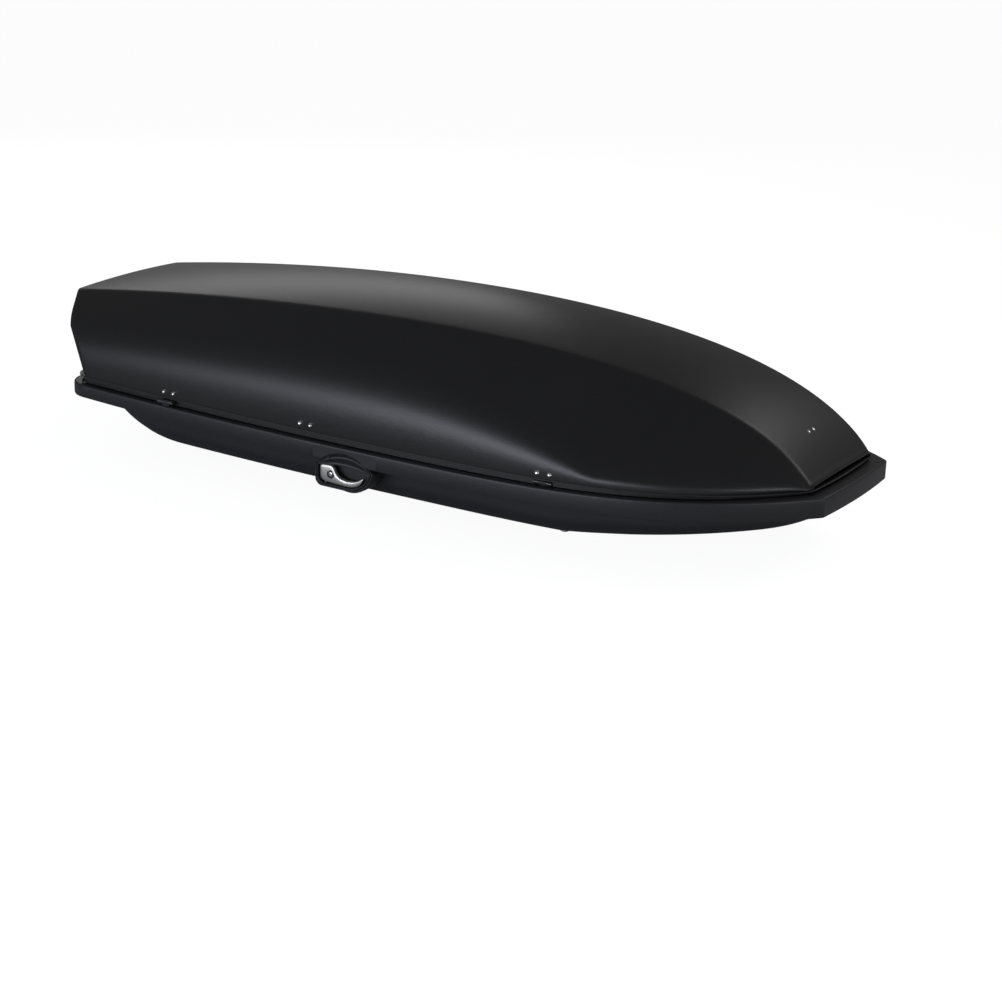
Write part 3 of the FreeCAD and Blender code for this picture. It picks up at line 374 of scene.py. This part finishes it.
def lid_skin(radii):
    """Lid: each profile line runs forwards from the raked rear plane to the nose.

    The start of each line is found by repeated halving towards the plane.
    """
    count = 190
    w = np.linspace(0.0, 1.0, count)
    w = 0.75 * w + 0.25 * (1 - (1 - w) ** 2)
    rows = lid_lines(np.zeros(1), radii).shape[0]
    start = np.zeros(rows)
    for _ in range(60):
        found = lid_lines(start, radii)[np.arange(rows), np.arange(rows)]
        goal = rear_plan(found[:, 0]) - RAKE_LEAN * (found[:, 1] - CREASE_RISE)
        start = 0.5 * start + 0.5 * goal
    stations = start[:, None] + (LID_END - start[:, None]) * w[None, :]
    points = np.zeros((rows, count, 3))
    for i in range(rows):
        line = lid_lines(stations[i], radii)[i]
        points[i, :, 0] = stations[i]
        points[i, :, 1] = -line[:, 0]
        points[i, :, 2] = line[:, 1]
    skin = mirrored(points)
    foot_line = skin[:, 0].copy()
    rear = []
    for t in np.linspace(1.0, 0.0, 9):
        z = foot_line[:, 2] + (CREASE_RISE - foot_line[:, 2]) * t
        x = rear_plan(np.abs(foot_line[:, 1])) - RAKE_LEAN * (z - CREASE_RISE)
        rear.append(np.stack([x, foot_line[:, 1], z], axis=-1))
    rear = np.array(rear)
    whole = np.concatenate([rear[:-1].transpose(1, 0, 2), skin], axis=1)
    obj = mesh_object("lid_skin", whole, grid_faces(whole.shape[0], whole.shape[1]), 24.0)
    face_outwards(obj, (900.0, 0.0, 60.0))
    return solidify(obj)


def lid_foot():
    """Foot of the lid: crease shelf, groove and the joggled wall that sits in the tray."""
    up = lambda offset: (lambda s: rim_rise(s) + crease_rise(s) + offset)
    low = lambda offset: (lambda s: rim_rise(s) + offset)
    j, n = LID_REAR, LID_NOSE
    profile = [
        (-0.5, j - 0.5, n - 0.5, up(-1.2), True),
        (-0.5, j - 0.5, n - 0.5, up(-3.4), True),
        (0.3, j + 0.3, n + 0.3, up(-4.0), True),
        (7.0, j + 7.0, n + 7.0, up(-4.0), True),
        (8.0, j + 8.0, n + 8.0, up(-5.0), True),
        (8.0, j + 8.0, n + 8.0, low(1.2), True),
        (8.6, j + 8.6, n + 8.6, low(0.5), True),
        (11.4, j + 11.4, n + 11.4, low(0.5), True),
        (12.0, j + 12.0, n + 12.0, low(1.2), True),
        (12.0, j + 12.0, n + 12.0, up(-0.6), True),
        (4.0, j + 4.0, n + 6.0, up(-0.6), True),
        (0.3, j + 0.3, n + 0.3, up(-0.7), True),
    ]
    return ring_sweep("lid_foot", profile)


# Tray

def base_rim(keep):
    """Rim of the tray: rolled band, plateau, stepped ledge and the floor that meets the tub."""
    low = lambda offset: (lambda s: rim_rise(s) + offset)
    foot = lambda offset: (lambda s: rim_rise(s) - band(s) + offset)
    lr, ln = LID_REAR + 5.0, LID_NOSE + 5.0
    profile = [
        (5.0, 5.0, 5.0, low(0.0), False),
        (3.0, 3.0, 3.0, low(-0.4), False),
        (1.2, 1.2, 1.2, low(-1.5), False),
        (0.3, 0.3, 0.3, low(-3.2), False),
        (0.0, 0.0, 0.0, low(-BAND_ROUND[0]), False),
        (0.0, 0.0, 0.0, foot(BAND_ROUND[1]), False),
        (0.8, 0.8, 0.8, foot(0.8), False),
        (3.0, 3.0, 3.0, foot(0.0), False),
        (flange_reach, 94.0, 30.0, foot(0.0), False),
        (flange_reach, 94.0, 30.0, foot(4.0), False),
        (4.0, 4.0, 4.0, foot(4.0), False),
        (4.0, 4.0, 4.0, low(-11.0), False),
        (26.0, LID_REAR + 26.0, LID_NOSE + 26.0, low(-11.0), True),
        (26.0, LID_REAR + 26.0, LID_NOSE + 26.0, low(-7.6), True),
        (25.4, LID_REAR + 25.4, LID_NOSE + 25.4, low(-7.0), True),
        (5.6, lr + 0.6, ln + 0.6, low(-7.0), True),
        (5.0, lr, ln, low(-6.4), True),
        (5.0, lr, ln, low(-0.8), True),
        (4.2, lr - 0.8, ln - 0.8, low(0.0), True),
    ]
    return ring_sweep("base_rim", profile, keep=keep)


def body_skin():
    """Tub: half sections with drafted sides and quarter-round bottom corners, lofted from rear ramp to nose.

    The floor steps down by the pan's depth over a short slope.
    """
    count = 200
    w = np.linspace(0.0, 1.0, count)
    s = BODY_REAR + (BODY_END - BODY_REAR) * w
    top_y = body_side(s)
    top_z = rim_rise(s) - band(s) + 0.5
    low_z = body_bottom(s)
    depth = np.maximum(top_z + 3.5 - low_z, 3.0)
    corner = np.minimum(TUB_ROUND, 0.6 * depth)
    side_y = top_y - TUB_DRAFT * (depth - corner) / -FLOOR
    rows = [np.stack([s, -top_y, top_z], -1)]
    for t in np.linspace(0.15, 0.85, 6):
        rows.append(np.stack([s, -(top_y + (side_y - top_y) * t), top_z + (low_z + corner - top_z) * t], -1))
    for a in np.linspace(0.0, math.pi / 2, 9):
        y = side_y - corner + corner * math.cos(a)
        z = low_z + corner - corner * math.sin(a)
        rows.append(np.stack([s, -y, z], -1))
    inner = side_y - corner
    for t in np.linspace(0.08, 1.0, 14):
        y = inner * (1 - t)
        step = np.clip((np.minimum(s - PAN_ENDS[0], PAN_ENDS[1] - s)) / PAN_SLOPE, 0.0, 1.0)
        across = np.clip((PAN_HALF - y) / PAN_SLOPE, 0.0, 1.0)
        rows.append(np.stack([s, -y, low_z - PAN_STEP * step * across], -1))
    return mirrored(np.array(rows))


def make_body():
    whole = body_skin()
    obj = mesh_object("base_body", whole, grid_faces(whole.shape[0], whole.shape[1]), 40.0)
    face_outwards(obj, (1000.0, 0.0, -20.0))
    return solidify(obj)


# Handles

def arc_points(a, b, c, t):
    """Points on the circle through three points, running clockwise from the first to the third."""
    ax, az = a
    bx, bz = b
    cx, cz = c
    d = 2 * (ax * (bz - cz) + bx * (cz - az) + cx * (az - bz))
    aa, bb, cc = ax * ax + az * az, bx * bx + bz * bz, cx * cx + cz * cz
    ux = (aa * (bz - cz) + bb * (cz - az) + cc * (az - bz)) / d
    uz = (aa * (cx - bx) + bb * (ax - cx) + cc * (bx - ax)) / d
    start = math.atan2(az - uz, ax - ux)
    mid = math.atan2(bz - uz, bx - ux)
    end = math.atan2(cz - uz, cx - ux)
    while mid > start:
        mid -= 2 * math.pi
    while end > mid:
        end -= 2 * math.pi
    radius = math.hypot(ax - ux, az - uz)
    angle = start + (end - start) * t
    return np.column_stack([ux + radius * np.cos(angle), uz + radius * np.sin(angle)])


def handle_outline(grow, crown=HOUSING_CROWN):
    """Outline of the handle's housing as stations and heights: arched top, swept front, square foot."""
    left, right = HOUSING_ENDS[0] - grow, HOUSING_ENDS[1] + grow
    low = HOUSING_FOOT - grow
    top = (crown[0], crown[1] + grow)
    t = np.linspace(0.0, 1.0, ARCH_POINTS + 1)[:-1]
    return np.concatenate([
        arc_points((left, HOUSING_SHOULDER), top, (right, HOUSING_SHOULDER), t),
        arc_points((right, HOUSING_SHOULDER), (right - 22.0, low + 13.0), (HOUSING_MIDDLE, low), t),
        arc_points((left + 18.0, low), (left + 5.3, low + 5.3), (left, low + 18.0), t),
    ])


HANDLE_FACE = float(half_width(np.array(HOUSING_MIDDLE)))


def handle_rings(name, profile, sign, closed=False, cap=False, angle=40.0):
    """Surface through outlines, each of stations and heights with one depth from the face or one for each point."""
    rings = [np.column_stack([line[:, 0], np.full(len(line), sign * (HANDLE_FACE - depth)), line[:, 1]])
             for line, depth in profile]
    if cap:
        last = rings[-1]
        centre = last.mean(axis=0)
        rings += [centre + (last - centre) * t for t in (0.75, 0.5, 0.25, 0.0)]
    points = np.array(rings)
    return mesh_object(name, points, grid_faces(len(rings), points.shape[1], closed, True), angle)


def make_well(side, sign):
    """Pod wall round the handle's housing, from the band back to the tub."""
    profile = [(0.6, 2.4), (1.2, 1.5), (2.4, 1.3), (3.8, 2.2), (4.7, 4.4), (5.0, 8.0), (5.0, 62.0), (0.6, 62.0)]
    rings = [(handle_outline(grow), depth) for grow, depth in profile]
    return handle_rings(side + "_handle_well", rings, sign, closed=True)


def make_scoop(side, sign):
    """Housing's face: a crescent hollow under the arched top that swells out again to the pocket's lip."""
    outer, lip = handle_outline(0.3), handle_outline(-3.0, POCKET_CROWN)
    room = np.linalg.norm(outer - lip, axis=1) / 26.0
    face = HANDLE_FACE - half_width(outer[:, 0]) + 0.15
    rings = [(outer, 29.0), (outer, face + 0.9)]
    for t in np.linspace(0.0, 1.0, 15):
        hollow = 11.0 * np.sin(math.pi * min(1.0, t * 1.15)) ** 1.5 * (1.0 - 0.45 * t)
        rings.append((outer + (lip - outer) * (0.02 + 0.98 * t), face * (1 - t) + hollow * room + 1.0 * t))
    for grow, depth in ((-3.5, 1.5), (-3.7, 3.0), (-3.7, 10.0)):
        rings.append((handle_outline(grow, POCKET_CROWN), depth))
    return handle_rings(side + "_housing_scoop", rings, sign)


def make_pocket(side, sign):
    """Pocket behind the lever, with a round at its back."""
    profile = [(-3.7, 5.0), (-3.9, 14.0), (-4.2, 19.0), (-5.0, 22.0), (-6.2, 24.0), (-7.6, 25.0)]
    rings = [(handle_outline(grow, POCKET_CROWN), depth) for grow, depth in profile]
    return handle_rings(side + "_housing_pocket", rings, sign, cap=True)


def patch_ends():
    """Stations of the rim's columns between which the band's face is made by make_band_patch."""
    stations = rim_outline(0.0, 0.0, 0.0)[:, 0]
    return [stations[np.searchsorted(stations, end)] for end in PATCH_ENDS]


def make_band_patch(side, sign):
    """Outer face of the band over the handle: each column ends on the housing's arch or the band's foot."""
    s = np.linspace(*patch_ends(), PATCH_COLUMNS)
    arch = handle_outline(0.3)[:ARCH_POINTS]
    top = rim_rise(s) - BAND_ROUND[0]
    foot = rim_rise(s) - band(s) + BAND_ROUND[1]
    under = (s > arch[0, 0]) & (s < arch[-1, 0])
    low = np.maximum(foot, np.where(under, np.interp(s, arch[:, 0], arch[:, 1]), foot))
    rows = [np.column_stack([s, sign * half_width(s), top + (low - top) * t]) for t in np.linspace(0.0, 1.0, 5)]
    obj = mesh_object(side + "_band_face", np.array(rows), grid_faces(len(rows), PATCH_COLUMNS))
    return face_outwards(obj, (HOUSING_MIDDLE, 0.0, -30.0))


def lever_outline(count=120):
    """Outline of the lever: a square lock plate, a hooked neck and a bar that sweeps up to its tip.

    The corners are joined by Catmull-Rom's cubic.
    """
    loop = np.array(LEVER_CORNERS)
    n = len(loop)
    u = np.linspace(0.0, n, count, endpoint=False)
    i = np.floor(u).astype(int)
    t = (u - i)[:, None]
    p0, p1, p2 = loop[(i - 1) % n], loop[i % n], loop[(i + 1) % n]
    p3 = loop[(i + 2) % n]
    return 0.5 * (2 * p1 + (p2 - p0) * t + (2 * p0 - 5 * p1 + 4 * p2 - p3) * t ** 2
                  + (3 * p1 - p0 - 3 * p2 + p3) * t ** 3)


def make_lever(side, sign):
    """Lever: its outline is drawn towards the spine while the face domes outwards."""
    line = lever_outline()
    knots = np.arange(len(LEVER_SPINE))
    steps = np.linspace(0, knots[-1], 61)
    fine = np.column_stack([np.interp(steps, knots, values) for values in zip(*LEVER_SPINE)])
    gap = np.linalg.norm(line[:, None, :] - fine[None, :, :], axis=2)
    centre = fine[np.argmin(gap, axis=1)]
    profile = ((0.5, 13.0), (0.0, 13.0), (0.0, 7.0), (0.04, 5.6), (0.14, 4.6), (0.35, 3.9), (0.7, 3.5), (1.0, 3.4))
    rings = [(line + (centre - line) * shrink, depth) for shrink, depth in profile]
    return handle_rings(side + "_lever_skin", rings, sign, angle=50.0)


def turned_on_lock(name, profile, sign, count=48):
    """Turned piece about the lock's axis: circles of a radius at a depth from the face."""
    turn = np.linspace(0.0, 2 * math.pi, count, endpoint=False)
    circle = np.column_stack([np.cos(turn), np.sin(turn)])
    rings = [(np.array(LOCK_CENTRE) + radius * circle, depth) for radius, depth in profile]
    return handle_rings(name, rings, sign, angle=50.0)


def make_lock(side, sign):
    """Lock face with its raised collar, ring groove and key plug."""
    profile = [(10.5, 7.0), (10.5, 3.6), (10.0, 2.8), (9.4, 2.6), (9.0, 3.4), (8.9, 6.5), (5.5, 6.5), (5.4, 3.2),
               (5.0, 2.8), (2.2, 2.8), (1.9, 3.8), (1.0, 4.2), (0.0, 4.2)]
    return turned_on_lock(side + "_lock_face", profile, sign)


def make_lock_groove_shade(side, sign):
    """Black filling of the lock's ring groove: painted shade where the groove would be dark."""
    profile = [(8.8, 6.4), (8.8, 3.0), (8.4, 2.6), (6.0, 2.6), (5.6, 3.0), (5.6, 6.4), (8.8, 6.4)]
    return turned_on_lock(side + "_lock_groove_shade", profile, sign)


# Materials

def make_material(name, colour, rough, options):
    """Moulded or metal finish: colour variation, fine grain, roughness variation and paler worn edges."""
    mat = bpy.data.materials.new(name)
    mat.use_nodes = True
    nodes = mat.node_tree.nodes
    links = mat.node_tree.links
    shader = nodes["Principled BSDF"]
    shader.inputs["Metallic"].default_value = options.get("metallic", 0.0)
    shader.inputs["IOR"].default_value = options.get("ior", 1.5)
    shader.inputs["Specular IOR Level"].default_value = options.get("specular", 0.5)
    shader.inputs["Coat Weight"].default_value = options.get("coat", 0.0)
    shader.inputs["Coat Roughness"].default_value = options.get("coat_rough", 0.2)
    place = nodes.new("ShaderNodeTexCoord")
    stretch = nodes.new("ShaderNodeMapping")
    stretch.inputs["Scale"].default_value = options.get("stretch", (1.0, 1.0, 1.0))
    links.new(place.outputs["Object"], stretch.inputs["Vector"])

    def noise(scale, detail):
        node = nodes.new("ShaderNodeTexNoise")
        node.inputs["Scale"].default_value = scale
        node.inputs["Detail"].default_value = detail
        links.new(stretch.outputs["Vector"], node.inputs["Vector"])
        return node

    cloud = noise(options.get("cloud_scale", 4.0), 3.0)
    grain = noise(options.get("grain_scale", 900.0), 2.0)
    vary = options.get("vary", 0.12)
    tint = nodes.new("ShaderNodeValToRGB")
    tint.color_ramp.elements[0].position = 0.3
    tint.color_ramp.elements[1].position = 0.7
    tint.color_ramp.elements[0].color = [c * (1 - vary) for c in colour] + [1.0]
    tint.color_ramp.elements[1].color = [min(1.0, c * (1 + vary)) for c in colour] + [1.0]
    links.new(cloud.outputs["Fac"], tint.inputs["Fac"])
    edge = nodes.new("ShaderNodeNewGeometry")
    wear = nodes.new("ShaderNodeMapRange")
    wear.inputs["From Min"].default_value = 0.52
    wear.inputs["From Max"].default_value = 0.62
    wear.inputs["To Max"].default_value = options.get("wear", 0.25)
    links.new(edge.outputs["Pointiness"], wear.inputs["Value"])
    mix = nodes.new("ShaderNodeMix")
    mix.data_type = "RGBA"
    links.new(wear.outputs["Result"], mix.inputs["Factor"])
    links.new(tint.outputs["Color"], mix.inputs["A"])
    mix.inputs["B"].default_value = [min(1.0, c * 1.8 + 0.03) for c in colour] + [1.0]
    links.new(mix.outputs["Result"], shader.inputs["Base Color"])
    spread = nodes.new("ShaderNodeMapRange")
    spread.inputs["To Min"].default_value = rough - options.get("rough_vary", 0.05)
    spread.inputs["To Max"].default_value = rough + options.get("rough_vary", 0.05)
    links.new(grain.outputs["Fac"], spread.inputs["Value"])
    links.new(spread.outputs["Result"], shader.inputs["Roughness"])
    bump = nodes.new("ShaderNodeBump")
    bump.inputs["Strength"].default_value = options.get("bump", 0.15)
    bump.inputs["Distance"].default_value = options.get("bump_depth", 0.0004)
    links.new(grain.outputs["Fac"], bump.inputs["Height"])
    links.new(bump.outputs["Normal"], shader.inputs["Normal"])
    return mat


FINISHES = {
    "lid_plastic": (0.36, {"grain_scale": 330.0, "bump": 0.4, "bump_depth": 0.0006, "specular": 0.55, "vary": 0.08}),
    "base_plastic": (0.42, {"grain_scale": 330.0, "bump": 0.4, "bump_depth": 0.0006, "specular": 0.5, "vary": 0.08}),
    "housing_nickel": (0.32, {"metallic": 0.85, "grain_scale": 1600.0, "bump": 0.08, "vary": 0.06, "wear": 0.4}),
    "black_moulding": (0.5, {"grain_scale": 1200.0, "bump": 0.25}),
    "steel": (0.34, {"metallic": 1.0, "grain_scale": 500.0, "stretch": (0.2, 1.0, 1.0), "bump": 0.1, "wear": 0.3}),
    "rivet_metal": (0.25, {"metallic": 1.0, "grain_scale": 900.0, "bump": 0.05}),
    "lifter_black": (0.3, {"grain_scale": 900.0, "bump": 0.06, "coat": 0.4}),
    "lock_metal": (0.18, {"metallic": 1.0, "grain_scale": 1500.0, "bump": 0.05, "wear": 0.4}),
    "knob_plastic": (0.45, {"grain_scale": 1000.0, "bump": 0.2, "wear": 0.3}),
}


COLOURS = {
    "black_moulding": (0.012, 0.012, 0.014),
    "steel": (0.55, 0.55, 0.56),
    "rivet_metal": (0.8, 0.8, 0.8),
    "lifter_black": (0.01, 0.01, 0.01),
    "lock_metal": (0.7, 0.7, 0.7),
    "knob_plastic": (0.25, 0.015, 0.012),
}


def colour_of(slot):
    """Base colour of a slot: from the settings for the main finishes, else from the list."""
    settings = bpy.context.scene.cargo_box
    chosen = {"lid_plastic": settings.lid_colour, "base_plastic": settings.base_colour,
              "housing_nickel": settings.nickel_colour}
    return list(chosen[slot] if slot in chosen else COLOURS[slot])


def finish(slot):
    """The material of a slot, made once."""
    name = slot + "_finish"
    if name not in bpy.data.materials:
        rough, options = FINISHES[slot]
        make_material(name, colour_of(slot), rough, options)
    return bpy.data.materials[name]


def dress(obj, body, slot, replaced=()):
    """Gives a new piece its finish and ties it to its body."""
    obj.data.materials.clear()
    obj.data.materials.append(finish(slot))
    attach(obj, body)
    if replaced:
        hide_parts(*replaced)
    return obj


# Settings and operators

class CargoBoxSettings(bpy.types.PropertyGroup):
    """Sizes and colours of the dressed box."""
    crease_round: bpy.props.FloatProperty(
        name="Break rounding", default=24.0, min=1.0,
        description="Half-length of the round on each side break, in millimetres")
    ridge_round: bpy.props.FloatProperty(
        name="Ridge rounding", default=9.0, min=1.0,
        description="Half-length of the round on each ridge, in millimetres")
    lid_colour: bpy.props.FloatVectorProperty(
        name="Lid colour", subtype="COLOR", size=3, default=(0.010, 0.010, 0.0112),
        description="Base colour of the lid")
    base_colour: bpy.props.FloatVectorProperty(
        name="Tray colour", subtype="COLOR", size=3, default=(0.014, 0.014, 0.0175),
        description="Base colour of the tray")
    nickel_colour: bpy.props.FloatVectorProperty(
        name="Lever colour", subtype="COLOR", size=3, default=(0.62, 0.60, 0.57),
        description="Base colour of the levers")
    lens: bpy.props.FloatProperty(
        name="Lens", default=82.57, unit="CAMERA", description="Focal length of the camera")


class CARGO_OT_lid(bpy.types.Operator):
    """Build the lid's skin and foot"""
    bl_idname = "cargo.lid"
    bl_label = "Build lid"

    def execute(self, context):
        settings = context.scene.cargo_box
        radii = (0.0, settings.crease_round, settings.ridge_round, 0.0)
        dress(lid_skin(radii), "lid", "lid_plastic", ("lid_shell",))
        dress(lid_foot(), "lid", "lid_plastic")
        return {"FINISHED"}


class CARGO_OT_tray(bpy.types.Operator):
    """Build the tray's rim and tub"""
    bl_idname = "cargo.tray"
    bl_label = "Build tray"

    def execute(self, context):
        dress(base_rim(self.keep), "base", "base_plastic", ("base_shell",))
        dress(make_body(), "base", "base_plastic")
        for side, sign in SIDES:
            dress(make_band_patch(side, sign), "base", "base_plastic")
        return {"FINISHED"}

    def keep(self, points):
        """Leaves out the rim's faces inside the housing, and the band's face over it."""
        rows, columns = points.shape[:2]
        low = (np.arange(rows) + 1) % rows
        side = (np.arange(columns) + 1) % columns
        centre = (points + points[low] + points[:, side] + points[low][:, side]) / 4.0
        line = handle_outline(1.0)
        inside = np.zeros(centre.shape[:2], bool)
        for a, b in zip(line, np.roll(line, -1, axis=0)):
            crosses = (a[1] > centre[..., 2]) != (b[1] > centre[..., 2])
            where = (b[0] - a[0]) * (centre[..., 2] - a[1]) / (b[1] - a[1] + 1e-9) + a[0]
            inside ^= crosses & (centre[..., 0] < where)
        gone = inside & (centre[..., 2] < -10.0)
        start, end = patch_ends()
        gone[BAND_ROW] |= (centre[BAND_ROW, :, 0] > start) & (centre[BAND_ROW, :, 0] < end)
        return ~gone


class CARGO_OT_handles(bpy.types.Operator):
    """Build the handle wells, housings, levers and locks"""
    bl_idname = "cargo.handles"
    bl_label = "Build handles"

    def execute(self, context):
        for side, sign in SIDES:
            dress(make_well(side, sign), "base", "base_plastic")
            dress(make_scoop(side, sign), "base", "base_plastic", (side + "_handle_housing",))
            dress(make_pocket(side, sign), "base", "black_moulding")
            dress(make_lever(side, sign), side + "_handle", "housing_nickel", (side + "_handle",))
            dress(make_lock(side, sign), side + "_lock", "lock_metal", (side + "_lock_cylinder",))
            # The black filling in the lock's ring groove is painted shade.
            dress(make_lock_groove_shade(side, sign), side + "_lock", "black_moulding")
        return {"FINISHED"}


class CARGO_OT_finishes(bpy.types.Operator):
    """Give each carried-over node its finish"""
    bl_idname = "cargo.finishes"
    bl_label = "Finish carried-over nodes"

    def execute(self, context):
        slots = {entry["node"]: entry["material_slot"] for entry in frame["record"]["subparts"]}
        for name, obj in frame["nodes"].items():
            # The lid's brackets get the black lifter finish to match the dark groove under the rivets: painted
            # shade.
            material = finish("lifter_black" if name.endswith("lid_brackets") else slots[name])
            for place in obj.material_slots:
                place.material = material
            if not obj.material_slots:
                obj.data.materials.append(material)
        return {"FINISHED"}


def area_light(name, place, target, size, power, colour):
    """Rectangular light that looks from its place to its target."""
    data = bpy.data.lights.new(name, "AREA")
    data.shape = "RECTANGLE"
    data.size, data.size_y = size
    data.energy = power
    data.color = colour
    obj = bpy.data.objects.new(name, data)
    bpy.context.scene.collection.objects.link(obj)
    obj.location = place
    obj.rotation_euler = (Vector(target) - Vector(place)).to_track_quat("-Z", "Y").to_euler()
    return obj


class CARGO_OT_stage(bpy.types.Operator):
    """Set the floor, lights, world and camera"""
    bl_idname = "cargo.stage"
    bl_label = "Set the stage"

    def execute(self, context):
        scene = context.scene
        scene.view_settings.view_transform = "Standard"
        self.floor()
        self.world(scene)
        for light in LIGHTS:
            area_light(*light)
        self.camera(scene)
        return {"FINISHED"}

    def floor(self):
        """Pale floor that reads white in the camera and keeps the box's shadow."""
        t = np.linspace(-1.0, 1.0, 41)
        x, y = np.meshgrid(t * FLOOR_HALF - RIM_REAR_X, t * FLOOR_HALF, indexing="ij")
        points = np.stack([x, y, np.full_like(x, -RIM_Z)], axis=-1)
        obj = mesh_object("floor", points, grid_faces(len(t), len(t)))
        mat = bpy.data.materials.new("floor_finish")
        mat.use_nodes = True
        nodes, links = mat.node_tree.nodes, mat.node_tree.links
        shader = nodes["Principled BSDF"]
        shader.inputs["Base Color"].default_value = (0.8, 0.8, 0.8, 1.0)
        shader.inputs["Roughness"].default_value = 0.9
        glow = nodes.new("ShaderNodeEmission")
        glow.inputs["Color"].default_value = (1.0, 1.0, 1.0, 1.0)
        glow.inputs["Strength"].default_value = FLOOR_GLOW
        ray = nodes.new("ShaderNodeLightPath")
        share = nodes.new("ShaderNodeMath")
        share.operation = "MULTIPLY"
        share.inputs[1].default_value = FLOOR_SHARE
        mix = nodes.new("ShaderNodeMixShader")
        links.new(ray.outputs["Is Camera Ray"], share.inputs[0])
        links.new(share.outputs[0], mix.inputs["Fac"])
        links.new(shader.outputs["BSDF"], mix.inputs[1])
        links.new(glow.outputs["Emission"], mix.inputs[2])
        links.new(mix.outputs["Shader"], nodes["Material Output"].inputs["Surface"])
        obj.data.materials.append(mat)

    def world(self, scene):
        """Soft even light, white where the camera sees it."""
        world = bpy.data.worlds.new("studio")
        scene.world = world
        world.use_nodes = True
        nodes, links = world.node_tree.nodes, world.node_tree.links
        soft = nodes["Background"]
        soft.inputs["Color"].default_value = (1.0, 1.0, 1.0, 1.0)
        soft.inputs["Strength"].default_value = WORLD_STRENGTH
        white = nodes.new("ShaderNodeBackground")
        white.inputs["Strength"].default_value = 1.0
        white.inputs["Color"].default_value = (1.0, 1.0, 1.0, 1.0)
        ray = nodes.new("ShaderNodeLightPath")
        mix = nodes.new("ShaderNodeMixShader")
        links.new(ray.outputs["Is Camera Ray"], mix.inputs["Fac"])
        links.new(soft.outputs["Background"], mix.inputs[1])
        links.new(white.outputs["Background"], mix.inputs[2])
        links.new(mix.outputs["Shader"], nodes["World Output"].inputs["Surface"])

    def camera(self, scene):
        """Camera at the photograph's viewing angle, turned slightly about its own axis."""
        yaw, pitch, roll = CAMERA_TURN
        forward = Vector((math.sin(yaw) * math.cos(pitch), math.cos(yaw) * math.cos(pitch), -math.sin(pitch)))
        right = forward.cross(Vector((0, 0, 1))).normalized()
        up = right.cross(forward)
        turned = math.cos(roll) * right + math.sin(roll) * up
        head = -math.sin(roll) * right + math.cos(roll) * up
        data = bpy.data.cameras.new("camera")
        data.sensor_fit = "HORIZONTAL"
        data.sensor_width = 36.0
        data.lens = scene.cargo_box.lens
        data.clip_end = 100.0
        obj = bpy.data.objects.new("camera", data)
        scene.collection.objects.link(obj)
        turn = Matrix((turned, head, -forward)).transposed()
        place = Vector(part_frame(CAMERA_PLACE))
        obj.matrix_world = Matrix.Translation(place) @ turn.to_4x4()
        scene.camera = obj


class CARGO_PT_panel(bpy.types.Panel):
    """Sidebar panel of the cargo box"""
    bl_label = "Cargo box"
    bl_idname = "CARGO_PT_panel"
    bl_space_type = "VIEW_3D"
    bl_region_type = "UI"
    bl_category = "Cargo box"

    def draw(self, context):
        for name in CargoBoxSettings.__annotations__:
            self.layout.prop(context.scene.cargo_box, name)
        for operator in OPERATORS:
            self.layout.operator(operator.bl_idname)


OPERATORS = (CARGO_OT_lid, CARGO_OT_tray, CARGO_OT_handles, CARGO_OT_finishes, CARGO_OT_stage)
CLASSES = (CargoBoxSettings,) + OPERATORS + (CARGO_PT_panel,)


def register():
    for cls in CLASSES:
        bpy.utils.register_class(cls)
    bpy.types.Scene.cargo_box = bpy.props.PointerProperty(type=CargoBoxSettings)


def unregister():
    del bpy.types.Scene.cargo_box
    for cls in reversed(CLASSES):
        bpy.utils.unregister_class(cls)


def main():
    register()
    bpy.ops.cargo.lid()
    bpy.ops.cargo.tray()
    bpy.ops.cargo.handles()
    bpy.ops.cargo.finishes()
    bpy.ops.cargo.stage()


if __name__ == "__main__":
    main()
